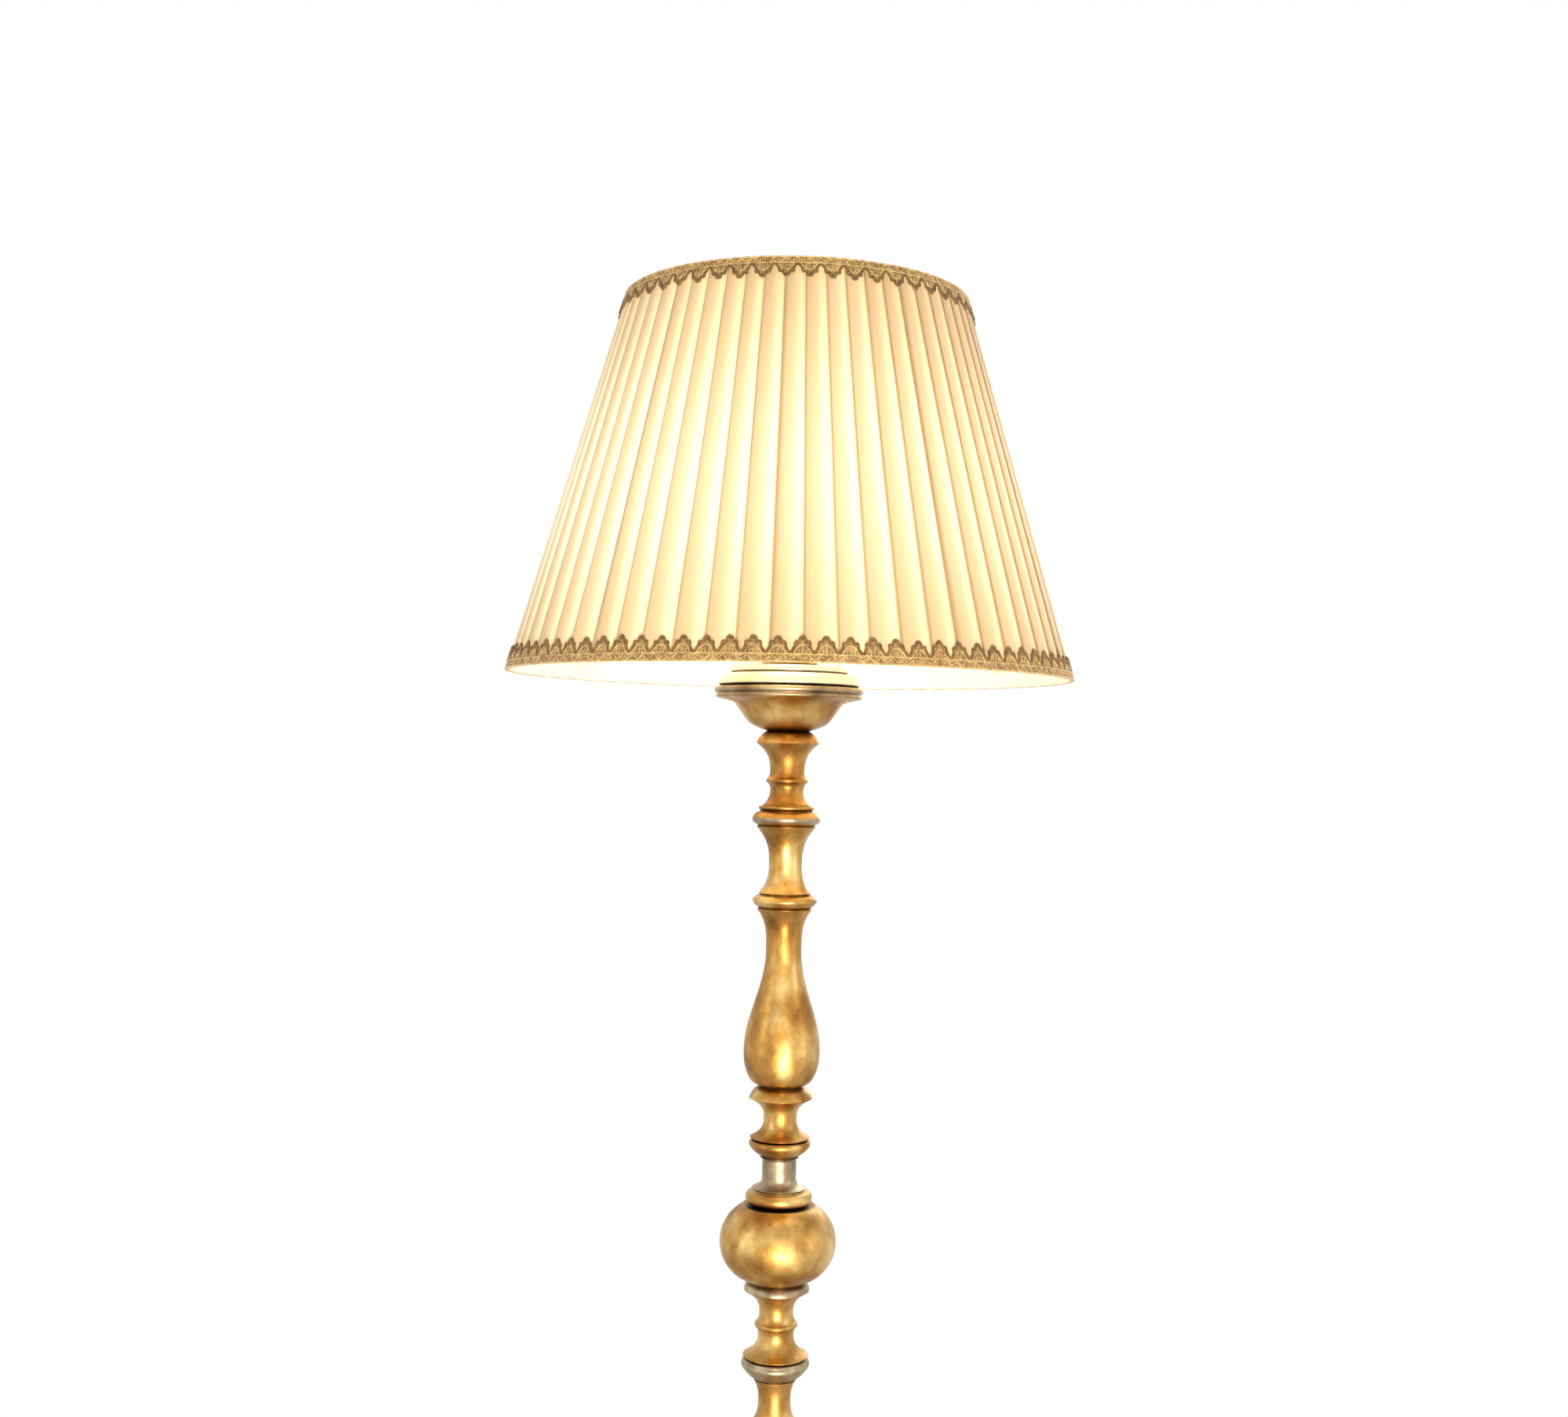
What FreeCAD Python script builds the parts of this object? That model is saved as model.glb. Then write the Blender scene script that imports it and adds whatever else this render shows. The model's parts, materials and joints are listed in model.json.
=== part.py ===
import FreeCAD, Part
import math
import os

# A candlestick floor lamp: a column of turned, leaf-gilded wood threaded on a steel tube,
# a round weighted base, and a lit shade of knife-pleated cloth with a braid at each rim.
# Millimetres, +Z up. The origin is on the floor, on the column's axis; the front faces -Y.

V = FreeCAD.Vector

# Stem, and the fits between one turned piece and the next
tube_r = 5.0
tube_wall = 1.4
tube_clear = 0.4
spigot_r = 8.5
spigot_len = 4.0
spigot_clear = 0.1
spigot_gap = 0.4
groove = 1.0
nut_across = 17.0
nut_thick = 5.0
washer_r = 15.0
washer_thick = 1.6
tube_below_nut = 2.5

# Felt, plinth and ballast
felt_r = 139.0
felt_thick = 3.0
plinth_foot_r = 143.0
plinth_round_proud = 7.0
plinth_round_rise = 23.0
plinth_fillet_in = 3.5
plinth_fillet_rise = 2.5
plinth_top_r = 121.0
plinth_cove_rise = 11.5
recess_r = 113.0
recess_deep = 23.0
ballast_clear = 1.5
ballast_thick = 19.0
ballast_eye_r = 26.0
ballast_slot_wide = 44.0
screw_circle_r = 78.0
screw_count = 3
screw_r = 2.5
screw_head_r = 5.0
screw_bite = 7.0

# Mains entry at the back of the plinth, and the wiring inside
inlet_r = 3.5
inlet_wall = 1.5
inlet_flange_r = 8.0
inlet_flange_thick = 2.0
inlet_height = 14.0
inlet_face_y = 147.0
block_wide = 22.0
block_long = 30.0
block_tall = 12.0
block_y = 44.0
lead_r = 2.2
lead_bend_r = 8.0

# Base mouldings
base_bead_seat_r = 114.0
base_bead_r = 119.0
base_bead_rise = 9.0
dome_foot_r = 110.0
dome_foot_rise = 4.0
dome_shoulder_r = 66.0
dome_shoulder_rise = 27.0
dome_neck_r = 30.0
dome_neck_rise = 48.0
dome_lip_proud = 2.5
dome_lip_rise = 6.0

# Collars: foot, widest and top radius; heights under, along and over the widest edge
foot_collar_foot_r = 27.0
foot_collar_r = 38.0
foot_collar_top_r = 28.0
foot_collar_under = 5.0
foot_collar_edge = 6.0
foot_collar_over = 4.0
collar_1_foot_r = 25.0
collar_1_r = 32.0
collar_1_top_r = 26.0
collar_1_under = 5.0
collar_1_edge = 5.5
collar_1_over = 4.5
collar_2_foot_r = 19.5
collar_2_r = 29.5
collar_2_top_r = 25.0
collar_2_under = 7.0
collar_2_edge = 5.0
collar_2_over = 2.0
collar_3_foot_r = 23.0
collar_3_r = 28.0
collar_3_top_r = 23.0
collar_3_under = 4.5
collar_3_edge = 5.5
collar_3_over = 5.0
collar_4_foot_r = 17.5
collar_4_r = 26.9
collar_4_top_r = 24.0
collar_4_under = 8.4
collar_4_edge = 5.2
collar_4_over = 3.0
collar_5_foot_r = 15.5
collar_5_r = 24.4
collar_5_top_r = 21.5
collar_5_under = 7.2
collar_5_edge = 4.8
collar_5_over = 1.7
collar_6_foot_r = 21.5
collar_6_r = 25.6
collar_6_top_r = 21.0
collar_6_under = 4.0
collar_6_edge = 3.9
collar_6_over = 3.0
collar_7_foot_r = 23.5
collar_7_r = 27.2
collar_7_top_r = 22.0
collar_7_under = 2.6
collar_7_edge = 5.2
collar_7_over = 4.0

# Vases: foot, belly, neck and lip radius, and the heights between them
foot_vase_foot_r = 27.0
foot_vase_belly_r = 43.0
foot_vase_neck_r = 19.0
foot_vase_lip_r = 27.0
foot_vase_belly_rise = 40.0
foot_vase_neck_rise = 115.3
foot_vase_lip_rise = 37.0
lower_vase_foot_r = 21.0
lower_vase_belly_r = 36.0
lower_vase_neck_r = 16.0
lower_vase_lip_r = 24.0
lower_vase_belly_rise = 30.0
lower_vase_neck_rise = 92.0
lower_vase_lip_rise = 40.0
upper_vase_foot_r = 18.5
upper_vase_belly_r = 30.2
upper_vase_neck_r = 14.1
upper_vase_lip_r = 21.9
upper_vase_belly_rise = 26.6
upper_vase_neck_rise = 79.5
upper_vase_lip_rise = 34.0

# Spools: foot and waist radius, height to the waist, then what stands above it
spool_1_foot_r = 28.0
spool_1_waist_r = 17.0
spool_1_waist_rise = 20.0
spool_1_flange_r = 31.0
spool_1_flare_rise = 18.0
spool_1_cap_r = 24.0
spool_1_cap_rise = 10.0
spool_2_foot_r = 28.0
spool_2_waist_r = 15.5
spool_2_waist_rise = 17.0
spool_2_flange_r = 29.0
spool_2_flare_rise = 17.0
spool_2_cap_r = 21.0
spool_2_cap_rise = 10.0
spool_3_foot_r = 24.0
spool_3_waist_r = 12.8
spool_3_waist_rise = 24.0
spool_3_top_r = 17.0
spool_3_top_rise = 16.8
spool_4_foot_r = 25.7
spool_4_waist_r = 14.1
spool_4_waist_rise = 16.7
spool_4_ring_r = 16.9
spool_4_ring_rise = 16.0
spool_4_neck_r = 13.4
spool_4_flange_r = 25.7
spool_4_flare_rise = 19.0
spool_4_cap_r = 23.0
spool_4_cap_rise = 7.0
spool_5_foot_r = 23.8
spool_5_waist_r = 13.1
spool_5_waist_rise = 15.0
spool_5_flange_r = 25.0
spool_5_flare_rise = 16.7
spool_5_cap_r = 17.8
spool_5_cap_rise = 10.0
spool_6_foot_r = 21.2
spool_6_waist_r = 13.1
spool_6_waist_rise = 26.0
spool_6_top_r = 23.6
spool_6_top_rise = 28.4
spool_7_bead_r = 22.3
spool_7_bead_rise = 3.6
spool_7_foot_r = 18.8
spool_7_waist_r = 13.4
spool_7_waist_rise = 14.0
spool_7_ring_r = 16.7
spool_7_ring_rise = 12.6
spool_7_neck_r = 13.8
spool_7_flange_r = 25.0
spool_7_flare_rise = 23.4
spool_7_cap_r = 17.6
spool_7_cap_rise = 10.2

# Balls, rings and silver necks
lower_ball_foot_r = 26.0
lower_ball_belly_r = 55.0
lower_ball_round_r = 40.0
lower_ball_top_r = 34.0
upper_ball_foot_r = 23.5
upper_ball_belly_r = 46.0
upper_ball_round_r = 31.5
upper_ball_top_r = 30.0
lower_ring_seat_r = 26.0
lower_ring_r = 32.0
lower_ring_rise = 14.0
upper_ring_seat_r = 21.5
upper_ring_r = 26.3
upper_ring_rise = 12.6
lower_neck_foot_r = 25.0
lower_neck_r = 16.5
lower_neck_top_r = 19.5
lower_neck_foot_rise = 11.0
lower_neck_rise = 12.0
lower_neck_top_rise = 5.0
upper_neck_foot_r = 21.3
upper_neck_r = 13.5
upper_neck_top_r = 15.5
upper_neck_foot_rise = 9.5
upper_neck_rise = 13.0
upper_neck_top_rise = 3.5

# Drip dish, its raised top, and the candle cup
dish_foot_r = 17.6
dish_bowl_r = 40.8
dish_bowl_rise = 17.6
dish_flare_r = 47.0
dish_flare_rise = 6.0
dish_brim_r = 56.0
dish_brim_rise = 1.8
dish_under_ring_r = 58.4
dish_under_ring_rise = 3.6
dish_rim_r = 59.4
dish_rim_rise = 5.4
top_round_r = 56.5
top_step_r = 46.5
top_round_rise = 9.5
top_groove_deep = 2.0
top_groove_wide = 1.2
top_lip_rise = 3.6
cup_foot_r = 20.5
cup_bead_proud = 1.8
cup_bead_rise = 5.0
cup_waist_r = 17.0
cup_waist_rise = 9.0
cup_mouth_r = 24.0
cup_mouth_rise = 14.0
cup_recess_deep = 6.0

# Lamp holder, in the candle cup
holder_cap_r = 18.6
holder_cap_rise = 19.0
holder_floor = 3.3
holder_boss_rise = 9.9
holder_wall = 2.2
holder_shoulder_r = 22.5
holder_shoulder_rise = 4.0
holder_shoulder_z = 30.0
holder_thread_r = 19.7
holder_thread_pitch = 2.5
holder_thread_deep = 0.7
holder_rise = 61.0
insert_rise = 13.0
insert_flange_rise = 4.0
insert_ledge = 1.4
shell_r = 14.3
shell_wall = 0.5
contact_wide = 6.0
contact_rise = 2.4
part_clear = 0.1

# Ring nut that holds the shade
nut_ring_r = 27.0
nut_ring_hub_r = 24.0
nut_ring_rise = 8.0
nut_ring_lip = 2.4
nut_ring_clear = 0.08
nut_grips = 18
nut_grip_r = 1.6

# Shade: a cone of sixty knife pleats over ten wires
shade_foot_r = 223.6
shade_top_r = 136.6
shade_high = 300.0
shade_drop = 62.0
pleats = 60
pleat_overlap = 0.7
pleat_slope = 0.26
cloth_thick = 0.4
layer_step = 0.65
first_fold_deg = -93.5
rib_count = 10
rib_r = 1.3
ring_wire_r = 2.0
ring_inset = 3.4
skin_clear = 0.05
lining_thick = 0.8
lining_hem = 1.0
fitter_r = 30.0
fitter_thick = 1.6
arm_count = 3
arm_r = 2.0
arm_level = 12.0
first_arm_deg = -90.0
braid_thick = 1.2
foot_braid_tall = 19.0
foot_scallops = 84
top_braid_tall = 17.0
top_scallops = 52
scallop_deep = 10.0
scallop_valley = 0.42
scallop_tip = 0.2

# Bulb: a round lamp with a 27 mm screw cap
cap_r = 13.1
cap_rise = 25.0
cap_thread_turns = 6
cap_thread_deep = 0.9
cap_wall = 0.6
cap_cone_rise = 4.0
insulator_r = 8.0
button_r = 4.6
button_rise = 1.6
glass_r = 30.0
glass_neck_r = 13.6
glass_wall = 0.9
glass_centre = 77.0
glass_meet_deg = -48.0
glass_shoulder_pull = 1.4
filament_count = 4
filament_r = 0.9
filament_circle_r = 7.0
filament_tall = 30.0
filament_stem_r = 3.0

CURVE_STEPS = 6


def ring_point(r, degrees, z):
    a = math.radians(degrees)
    return V(r * math.cos(a), r * math.sin(a), z)


def tube_between(r_out, r_in, z0, z1):
    outer = Part.makeCylinder(r_out, z1 - z0, V(0, 0, z0))
    return outer.cut(Part.makeCylinder(r_in, z1 - z0, V(0, 0, z0)))


def spun(points):
    """A solid of revolution from a closed outline of (radius, height) points."""
    corners = [V(r, 0, z) for r, z in points]
    face = Part.Face(Part.makePolygon(corners + corners[:1]))
    return face.revolve(V(0, 0, 0), V(0, 0, 1), 360)


class Outline:
    """The outside of a turned piece, drawn from its foot upwards.

    Each call goes on from the last point to a new radius, higher by a rise.
    """

    def __init__(self, foot_r):
        self.edges = []
        self.foot_r = foot_r - groove
        self.r = self.foot_r
        self.z = 0.0
        self.to(foot_r, groove)

    def point(self):
        return V(self.r, 0, self.z)

    def to(self, r, rise=0.0):
        """A straight line."""
        start = self.point()
        self.r = r
        self.z = self.z + rise
        self.edges.append(Part.makeLine(start, self.point()))
        return self

    def bead(self, r, rise, proud):
        """A round that stands proud of the straight line to the new point."""
        start = self.point()
        self.r = r
        self.z = self.z + rise
        along = self.point().sub(start)
        out = V(along.z, 0, -along.x).normalize()
        middle = start.add(along.multiply(0.5)).add(out.multiply(proud))
        self.edges.append(Part.Arc(start, middle, self.point()).toShape())
        return self

    def sweep(self, r, rise, law):
        """A curve: law gives the share of the way across and up, from 0 to 1."""
        points = []
        for i in range(CURVE_STEPS + 1):
            across, up = law(i / CURVE_STEPS)
            points.append(V(self.r + (r - self.r) * across, 0, self.z + rise * up))
        curve = Part.BSplineCurve()
        curve.interpolate(points)
        self.edges.append(curve.toShape())
        self.r = r
        self.z = self.z + rise
        return self

    def swell(self, r, rise):
        """A quarter of an ellipse that sets out level and ends upright."""
        return self.sweep(r, rise, lambda t: (math.sin(t * math.pi / 2), 1 - math.cos(t * math.pi / 2)))

    def close(self, r, rise):
        """A quarter of an ellipse that sets out upright and ends level."""
        return self.sweep(r, rise, lambda t: (1 - math.cos(t * math.pi / 2), math.sin(t * math.pi / 2)))

    def wave(self, r, rise):
        """An ogee: upright at both ends."""
        return self.sweep(r, rise, lambda t: ((1 - math.cos(t * math.pi)) / 2, t))

    def flare(self, r, rise, power=2.8):
        """Upright at first, and steeper outwards towards the end."""
        return self.sweep(r, rise, lambda t: (t ** power, t))

    def settle(self, r, rise, power=2.4):
        """Steep at first, and upright at the end."""
        return self.sweep(r, rise, lambda t: (1 - (1 - t) ** power, t))


def turned(outline, z0, spigot=True, socket=True, bore_r=None):
    """Spins an outline round the stem's bore, with a spigot below and a socket above."""
    outline.to(outline.r - groove, groove)
    bore = tube_r + tube_clear if bore_r is None else bore_r
    under = -spigot_len if spigot else 0.0
    inside = [(outline.r, outline.z)]
    if socket:
        inside.append((spigot_r + spigot_clear, outline.z))
        inside.append((spigot_r + spigot_clear, outline.z - spigot_len - spigot_gap))
        inside.append((bore, outline.z - spigot_len - spigot_gap))
    else:
        inside.append((bore, outline.z))
    inside.append((bore, under))
    if spigot:
        inside.append((spigot_r, under))
        inside.append((spigot_r, 0.0))
    inside.append((outline.foot_r, 0.0))
    walls = [Part.makeLine(V(a[0], 0, a[1]), V(b[0], 0, b[1])) for a, b in zip(inside, inside[1:])]
    face = Part.Face(Part.Wire(Part.__sortEdges__(outline.edges + walls)))
    solid = face.revolve(V(0, 0, 0), V(0, 0, 1), 360)
    solid.translate(V(0, 0, z0))
    return solid, z0 + outline.z


# Outlines of the turned forms

def collar(foot_r, ring_r, top_r, under, edge, over):
    """A moulded disc: a hollow under it, a rounded edge, a small round above."""
    line = Outline(foot_r)
    edge_proud = edge / 5
    line.sweep(ring_r - edge_proud, under - groove, lambda t: (t, t ** 1.6))
    line.bead(ring_r - edge_proud, edge, edge_proud)
    line.bead(top_r, over - groove, over / 6)
    return line


def vase(foot_r, belly_r, neck_r, lip_r, belly_rise, neck_rise, lip_rise):
    line = Outline(foot_r)
    line.swell(belly_r, belly_rise - groove)
    line.wave(neck_r, neck_rise)
    line.flare(lip_r, lip_rise - groove, 3.4)
    return line


def ball(foot_r, belly_r, round_r, top_r):
    """A flattened ball: one arc whose centre lies off the axis."""
    centre = belly_r - round_r
    below = math.sqrt(round_r ** 2 - (foot_r - centre) ** 2)
    above = math.sqrt(round_r ** 2 - (top_r - centre) ** 2)
    line = Outline(foot_r)
    start = line.point()
    middle = V(belly_r, 0, start.z + below)
    line.r = top_r
    line.z = start.z + below + above
    line.edges.append(Part.Arc(start, middle, line.point()).toShape())
    return line


def half_round(seat_r, ring_r, rise):
    line = Outline(seat_r)
    line.bead(seat_r, rise - 2 * groove, ring_r - seat_r)
    return line


def neck(foot_r, neck_r, top_r, foot_rise, neck_rise, top_rise):
    line = Outline(foot_r)
    line.settle(neck_r, foot_rise - groove, 3.0)
    line.to(neck_r, neck_rise)
    line.flare(top_r, top_rise - groove)
    return line


def spool(foot_r, waist_r, top_r, foot_rise, top_rise):
    line = Outline(foot_r)
    line.settle(waist_r, foot_rise - groove, 3.2)
    line.flare(top_r, top_rise - groove, 2.4)
    return line


def waist(line, foot_rise, waist_r):
    """From a foot in to the waist."""
    line.settle(waist_r, foot_rise - groove, 2.6)


def ring_on_waist(line, ring_r, ring_rise, neck_r):
    """A slender ring between two waists."""
    line.flare(ring_r - ring_rise / 10, ring_rise * 0.35, 2.0)
    line.bead(ring_r - ring_rise / 10, ring_rise * 0.3, ring_rise / 10)
    line.settle(neck_r, ring_rise * 0.35, 2.0)


def flange(line, flange_r, flare_rise, cap_r, cap_rise):
    """The waist runs out to a thin edge, with a rounded slope above it."""
    line.flare(flange_r, flare_rise, 3.0)
    line.bead(cap_r, cap_rise - groove, cap_rise / 8)


def spool_1_line():
    line = Outline(spool_1_foot_r)
    waist(line, spool_1_waist_rise, spool_1_waist_r)
    flange(line, spool_1_flange_r, spool_1_flare_rise, spool_1_cap_r, spool_1_cap_rise)
    return line


def spool_2_line():
    line = Outline(spool_2_foot_r)
    waist(line, spool_2_waist_rise, spool_2_waist_r)
    flange(line, spool_2_flange_r, spool_2_flare_rise, spool_2_cap_r, spool_2_cap_rise)
    return line


def spool_4_line():
    line = Outline(spool_4_foot_r)
    waist(line, spool_4_waist_rise, spool_4_waist_r)
    ring_on_waist(line, spool_4_ring_r, spool_4_ring_rise, spool_4_neck_r)
    flange(line, spool_4_flange_r, spool_4_flare_rise, spool_4_cap_r, spool_4_cap_rise)
    return line


def spool_5_line():
    line = Outline(spool_5_foot_r)
    waist(line, spool_5_waist_rise, spool_5_waist_r)
    flange(line, spool_5_flange_r, spool_5_flare_rise, spool_5_cap_r, spool_5_cap_rise)
    return line


def spool_7_line():
    line = Outline(spool_7_bead_r - spool_7_bead_rise / 4)
    bead_edge_r = line.r
    line.bead(bead_edge_r, spool_7_bead_rise - groove, spool_7_bead_rise / 4)
    line.to(spool_7_foot_r)
    line.to(spool_7_foot_r, groove)
    waist(line, spool_7_waist_rise, spool_7_waist_r)
    ring_on_waist(line, spool_7_ring_r, spool_7_ring_rise, spool_7_neck_r)
    flange(line, spool_7_flange_r, spool_7_flare_rise, spool_7_cap_r, spool_7_cap_rise)
    return line


def dish_line():
    """A bowl under a flat brim, with a thin ring and a half-round rim at its edge."""
    line = Outline(dish_foot_r)
    line.to(dish_foot_r + groove)
    line.swell(dish_bowl_r, dish_bowl_rise - groove)
    line.flare(dish_flare_r, dish_flare_rise, 2.0)
    line.to(dish_brim_r, dish_brim_rise)
    line.bead(dish_brim_r, dish_under_ring_rise, dish_under_ring_r - dish_brim_r)
    line.bead(dish_brim_r, dish_rim_rise, dish_rim_r - dish_brim_r)
    line.to(dish_brim_r - groove)
    return line


def dish_top_line():
    line = Outline(top_round_r)
    line.close(top_step_r, top_round_rise - groove)
    line.to(top_step_r - top_groove_deep)
    line.to(top_step_r - top_groove_deep, top_groove_wide)
    line.to(top_step_r)
    line.bead(top_step_r - groove, top_lip_rise, top_lip_rise / 6)
    return line


def cup_line():
    line = Outline(cup_foot_r)
    line.bead(cup_foot_r, cup_bead_rise - groove, cup_bead_proud)
    line.settle(cup_waist_r, cup_waist_rise)
    line.flare(cup_mouth_r, cup_mouth_rise - groove, 2.0)
    return line


# The base

def cord_hole(r):
    """A straight hole from the recess out through the back of the plinth."""
    return Part.makeCylinder(r, inlet_face_y, V(0, 0, inlet_height), V(0, 1, 0))


def screw_places():
    """Three screws, clear of the slot at the back."""
    return [ring_point(screw_circle_r, -90 + i * 360 / screw_count, 0) for i in range(screw_count)]


def base_plinth(z0):
    line = Outline(plinth_foot_r)
    line.bead(plinth_foot_r, plinth_round_rise, plinth_round_proud)
    line.to(plinth_foot_r - plinth_fillet_in)
    line.to(plinth_foot_r - plinth_fillet_in, plinth_fillet_rise)
    line.settle(plinth_top_r, plinth_cove_rise - 2 * groove, 2.0)
    solid, top = turned(line, z0, spigot=False)
    solid = solid.cut(Part.makeCylinder(recess_r, recess_deep, V(0, 0, z0)))
    solid = solid.cut(cord_hole(inlet_r + inlet_wall))
    face = V(0, inlet_face_y - inlet_flange_thick, inlet_height)
    beyond = plinth_foot_r + plinth_round_proud - face.y
    solid = solid.cut(Part.makeCylinder(inlet_flange_r + part_clear, beyond + groove, face, V(0, 1, 0)))
    roof = z0 + recess_deep
    for place in screw_places():
        solid = solid.cut(Part.makeCylinder(screw_r, screw_bite, place.add(V(0, 0, roof))))
    return solid, top


def base_weight(z0):
    """A cast disc with an eye for the nut and a slot for the wiring."""
    disc_r = recess_r - ballast_clear
    low = z0 + recess_deep - ballast_thick
    disc = Part.makeCylinder(disc_r, ballast_thick, V(0, 0, low))
    eye = Part.makeCylinder(ballast_eye_r, ballast_thick, V(0, 0, low))
    slot = Part.makeBox(ballast_slot_wide, disc_r, ballast_thick, V(-ballast_slot_wide / 2, 0, low))
    disc = disc.cut(eye).cut(slot)
    for place in screw_places():
        disc = disc.cut(screw_shape(place, low, 0.0, part_clear))
    return disc


def screw_shape(place, low, bite, spare):
    """A countersunk screw, or with spare the hole for one."""
    sink = screw_head_r - screw_r
    head = spun([(0, 0), (screw_head_r + spare, 0), (screw_r + spare, sink), (0, sink)])
    shank = Part.makeCylinder(screw_r + spare, ballast_thick - sink + bite, V(0, 0, sink))
    body = head.fuse(shank).removeSplitter()
    body.translate(place.add(V(0, 0, low)))
    return body


def weight_screws(z0):
    low = z0 + recess_deep - ballast_thick
    return Part.makeCompound([screw_shape(p, low, screw_bite - part_clear, 0.0) for p in screw_places()])


def felt_disc():
    return Part.makeCylinder(felt_r, felt_thick)


def cord_bush():
    """A plastic bush that lines the cord's hole, with its flange let into the rim."""
    wall_y = math.sqrt(recess_r ** 2 - (inlet_r + inlet_wall) ** 2)
    start = V(0, wall_y, inlet_height)
    sleeve = Part.makeCylinder(inlet_r + inlet_wall, inlet_face_y - wall_y, start, V(0, 1, 0))
    face = V(0, inlet_face_y - inlet_flange_thick, inlet_height)
    brim = Part.makeCylinder(inlet_flange_r, inlet_flange_thick, face, V(0, 1, 0))
    return sleeve.fuse(brim).removeSplitter().cut(cord_hole(inlet_r))


def base_bead(z0):
    return turned(half_round(base_bead_seat_r, base_bead_r, base_bead_rise), z0)


def base_dome(z0):
    line = Outline(dome_foot_r)
    line.to(dome_foot_r, dome_foot_rise - groove)
    line.close(dome_shoulder_r, dome_shoulder_rise)
    line.to(dome_shoulder_r - groove)
    line.settle(dome_neck_r, dome_neck_rise, 2.6)
    line.bead(dome_neck_r, dome_lip_rise - groove, dome_lip_proud)
    return turned(line, z0)


# The stem and the wiring

def stem_nut(top):
    corners = [ring_point(nut_across / math.sqrt(3), i * 60, top - nut_thick) for i in range(7)]
    hexagon = Part.Face(Part.makePolygon(corners)).extrude(V(0, 0, nut_thick))
    return hexagon.cut(Part.makeCylinder(tube_r, nut_thick, V(0, 0, top - nut_thick)))


def terminal_block(z0):
    """Two screw terminals in a plastic block, with a wire way through each."""
    half = block_wide / 2
    block = Part.makeBox(block_wide, block_long, block_tall, V(-half, block_y, z0))
    block = block.makeFillet(1.5, [e for e in block.Edges if abs(e.tangentAt(e.FirstParameter).z) > 0.9])
    for side in (-1, 1):
        x = side * block_wide / 4
        way = Part.makeCylinder(lead_r, block_long, V(x, block_y, z0 + block_tall / 2), V(0, 1, 0))
        well = Part.makeCylinder(lead_r, block_tall / 2, V(x, block_y + block_long / 4, z0))
        block = block.cut(way).cut(well)
    return block


def inner_lead(high, block_z):
    """The flex from the terminal block, round one bend and up the tube."""
    level = block_z + block_tall / 2
    corner = V(0, lead_bend_r * (1 - math.sqrt(0.5)), level + lead_bend_r * (1 - math.sqrt(0.5)))
    run = Part.makeLine(V(0, block_y, level), V(0, lead_bend_r, level))
    bend = Part.Arc(V(0, lead_bend_r, level), corner, V(0, 0, level + lead_bend_r)).toShape()
    rise = Part.makeLine(V(0, 0, level + lead_bend_r), V(0, 0, high))
    path = Part.Wire([run, bend, rise])
    end = Part.Wire(Part.makeCircle(lead_r, V(0, block_y, level), V(0, 1, 0)))
    return path.makePipeShell([end], True, False)


# The lamp holder

def holder_cap(z0):
    """The lower cup of the holder, screwed on the tube, with a ledge for the insert."""
    floor = z0 + holder_floor
    boss = z0 + holder_boss_rise
    rim = z0 + holder_cap_rise
    rim_r = holder_cap_r - holder_wall
    ledge_r = rim_r - insert_ledge
    return spun([
        (tube_r, z0), (rim_r, z0), (holder_cap_r, z0 + holder_wall),
        (holder_cap_r, rim), (rim_r, rim), (rim_r, rim - insert_flange_rise),
        (ledge_r, rim - insert_flange_rise), (ledge_r, floor), (tube_r + holder_wall, floor),
        (tube_r + holder_wall, boss), (tube_r, boss)])


def holder_skirt(z0):
    """The upper barrel: plain below, then a shoulder, then a thread for the ring nut."""
    low = z0 + holder_cap_rise
    high = z0 + holder_rise
    shoulder = z0 + holder_shoulder_z
    inner_r = shell_r + part_clear
    root_r = holder_thread_r - holder_thread_deep
    line = [(inner_r, high), (inner_r, low), (root_r, low)]
    line += [(root_r, shoulder - holder_shoulder_rise - holder_wall)]
    line += [(holder_shoulder_r, shoulder - holder_shoulder_rise)]
    line += [(holder_shoulder_r, shoulder), (holder_thread_r, shoulder)]
    z = shoulder + holder_thread_pitch
    while z + holder_thread_pitch < high - holder_wall:
        line += [(holder_thread_r, z), (root_r, z + holder_thread_pitch * 0.25)]
        line += [(root_r, z + holder_thread_pitch * 0.5), (holder_thread_r, z + holder_thread_pitch * 0.75)]
        z += holder_thread_pitch
    line += [(holder_thread_r, high - holder_wall / 2), (root_r, high)]
    return spun(line)


def holder_insert(z0):
    """The porcelain that carries the contacts: a flange on the cap's ledge, then a barrel."""
    low = z0 + holder_cap_rise - insert_flange_rise
    flange_top = z0 + holder_cap_rise - part_clear
    flange_r = holder_cap_r - holder_wall - part_clear
    top = z0 + holder_cap_rise + insert_rise
    bore_r = lead_r + part_clear
    body = spun([
        (bore_r, low), (flange_r, low), (flange_r, flange_top),
        (shell_r, flange_top), (shell_r, top), (bore_r, top)])
    return body, top


def holder_shell(low, z0):
    """The brass shell that takes the bulb's cap."""
    return tube_between(shell_r, shell_r - shell_wall, low, z0 + holder_rise - holder_wall)


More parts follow.
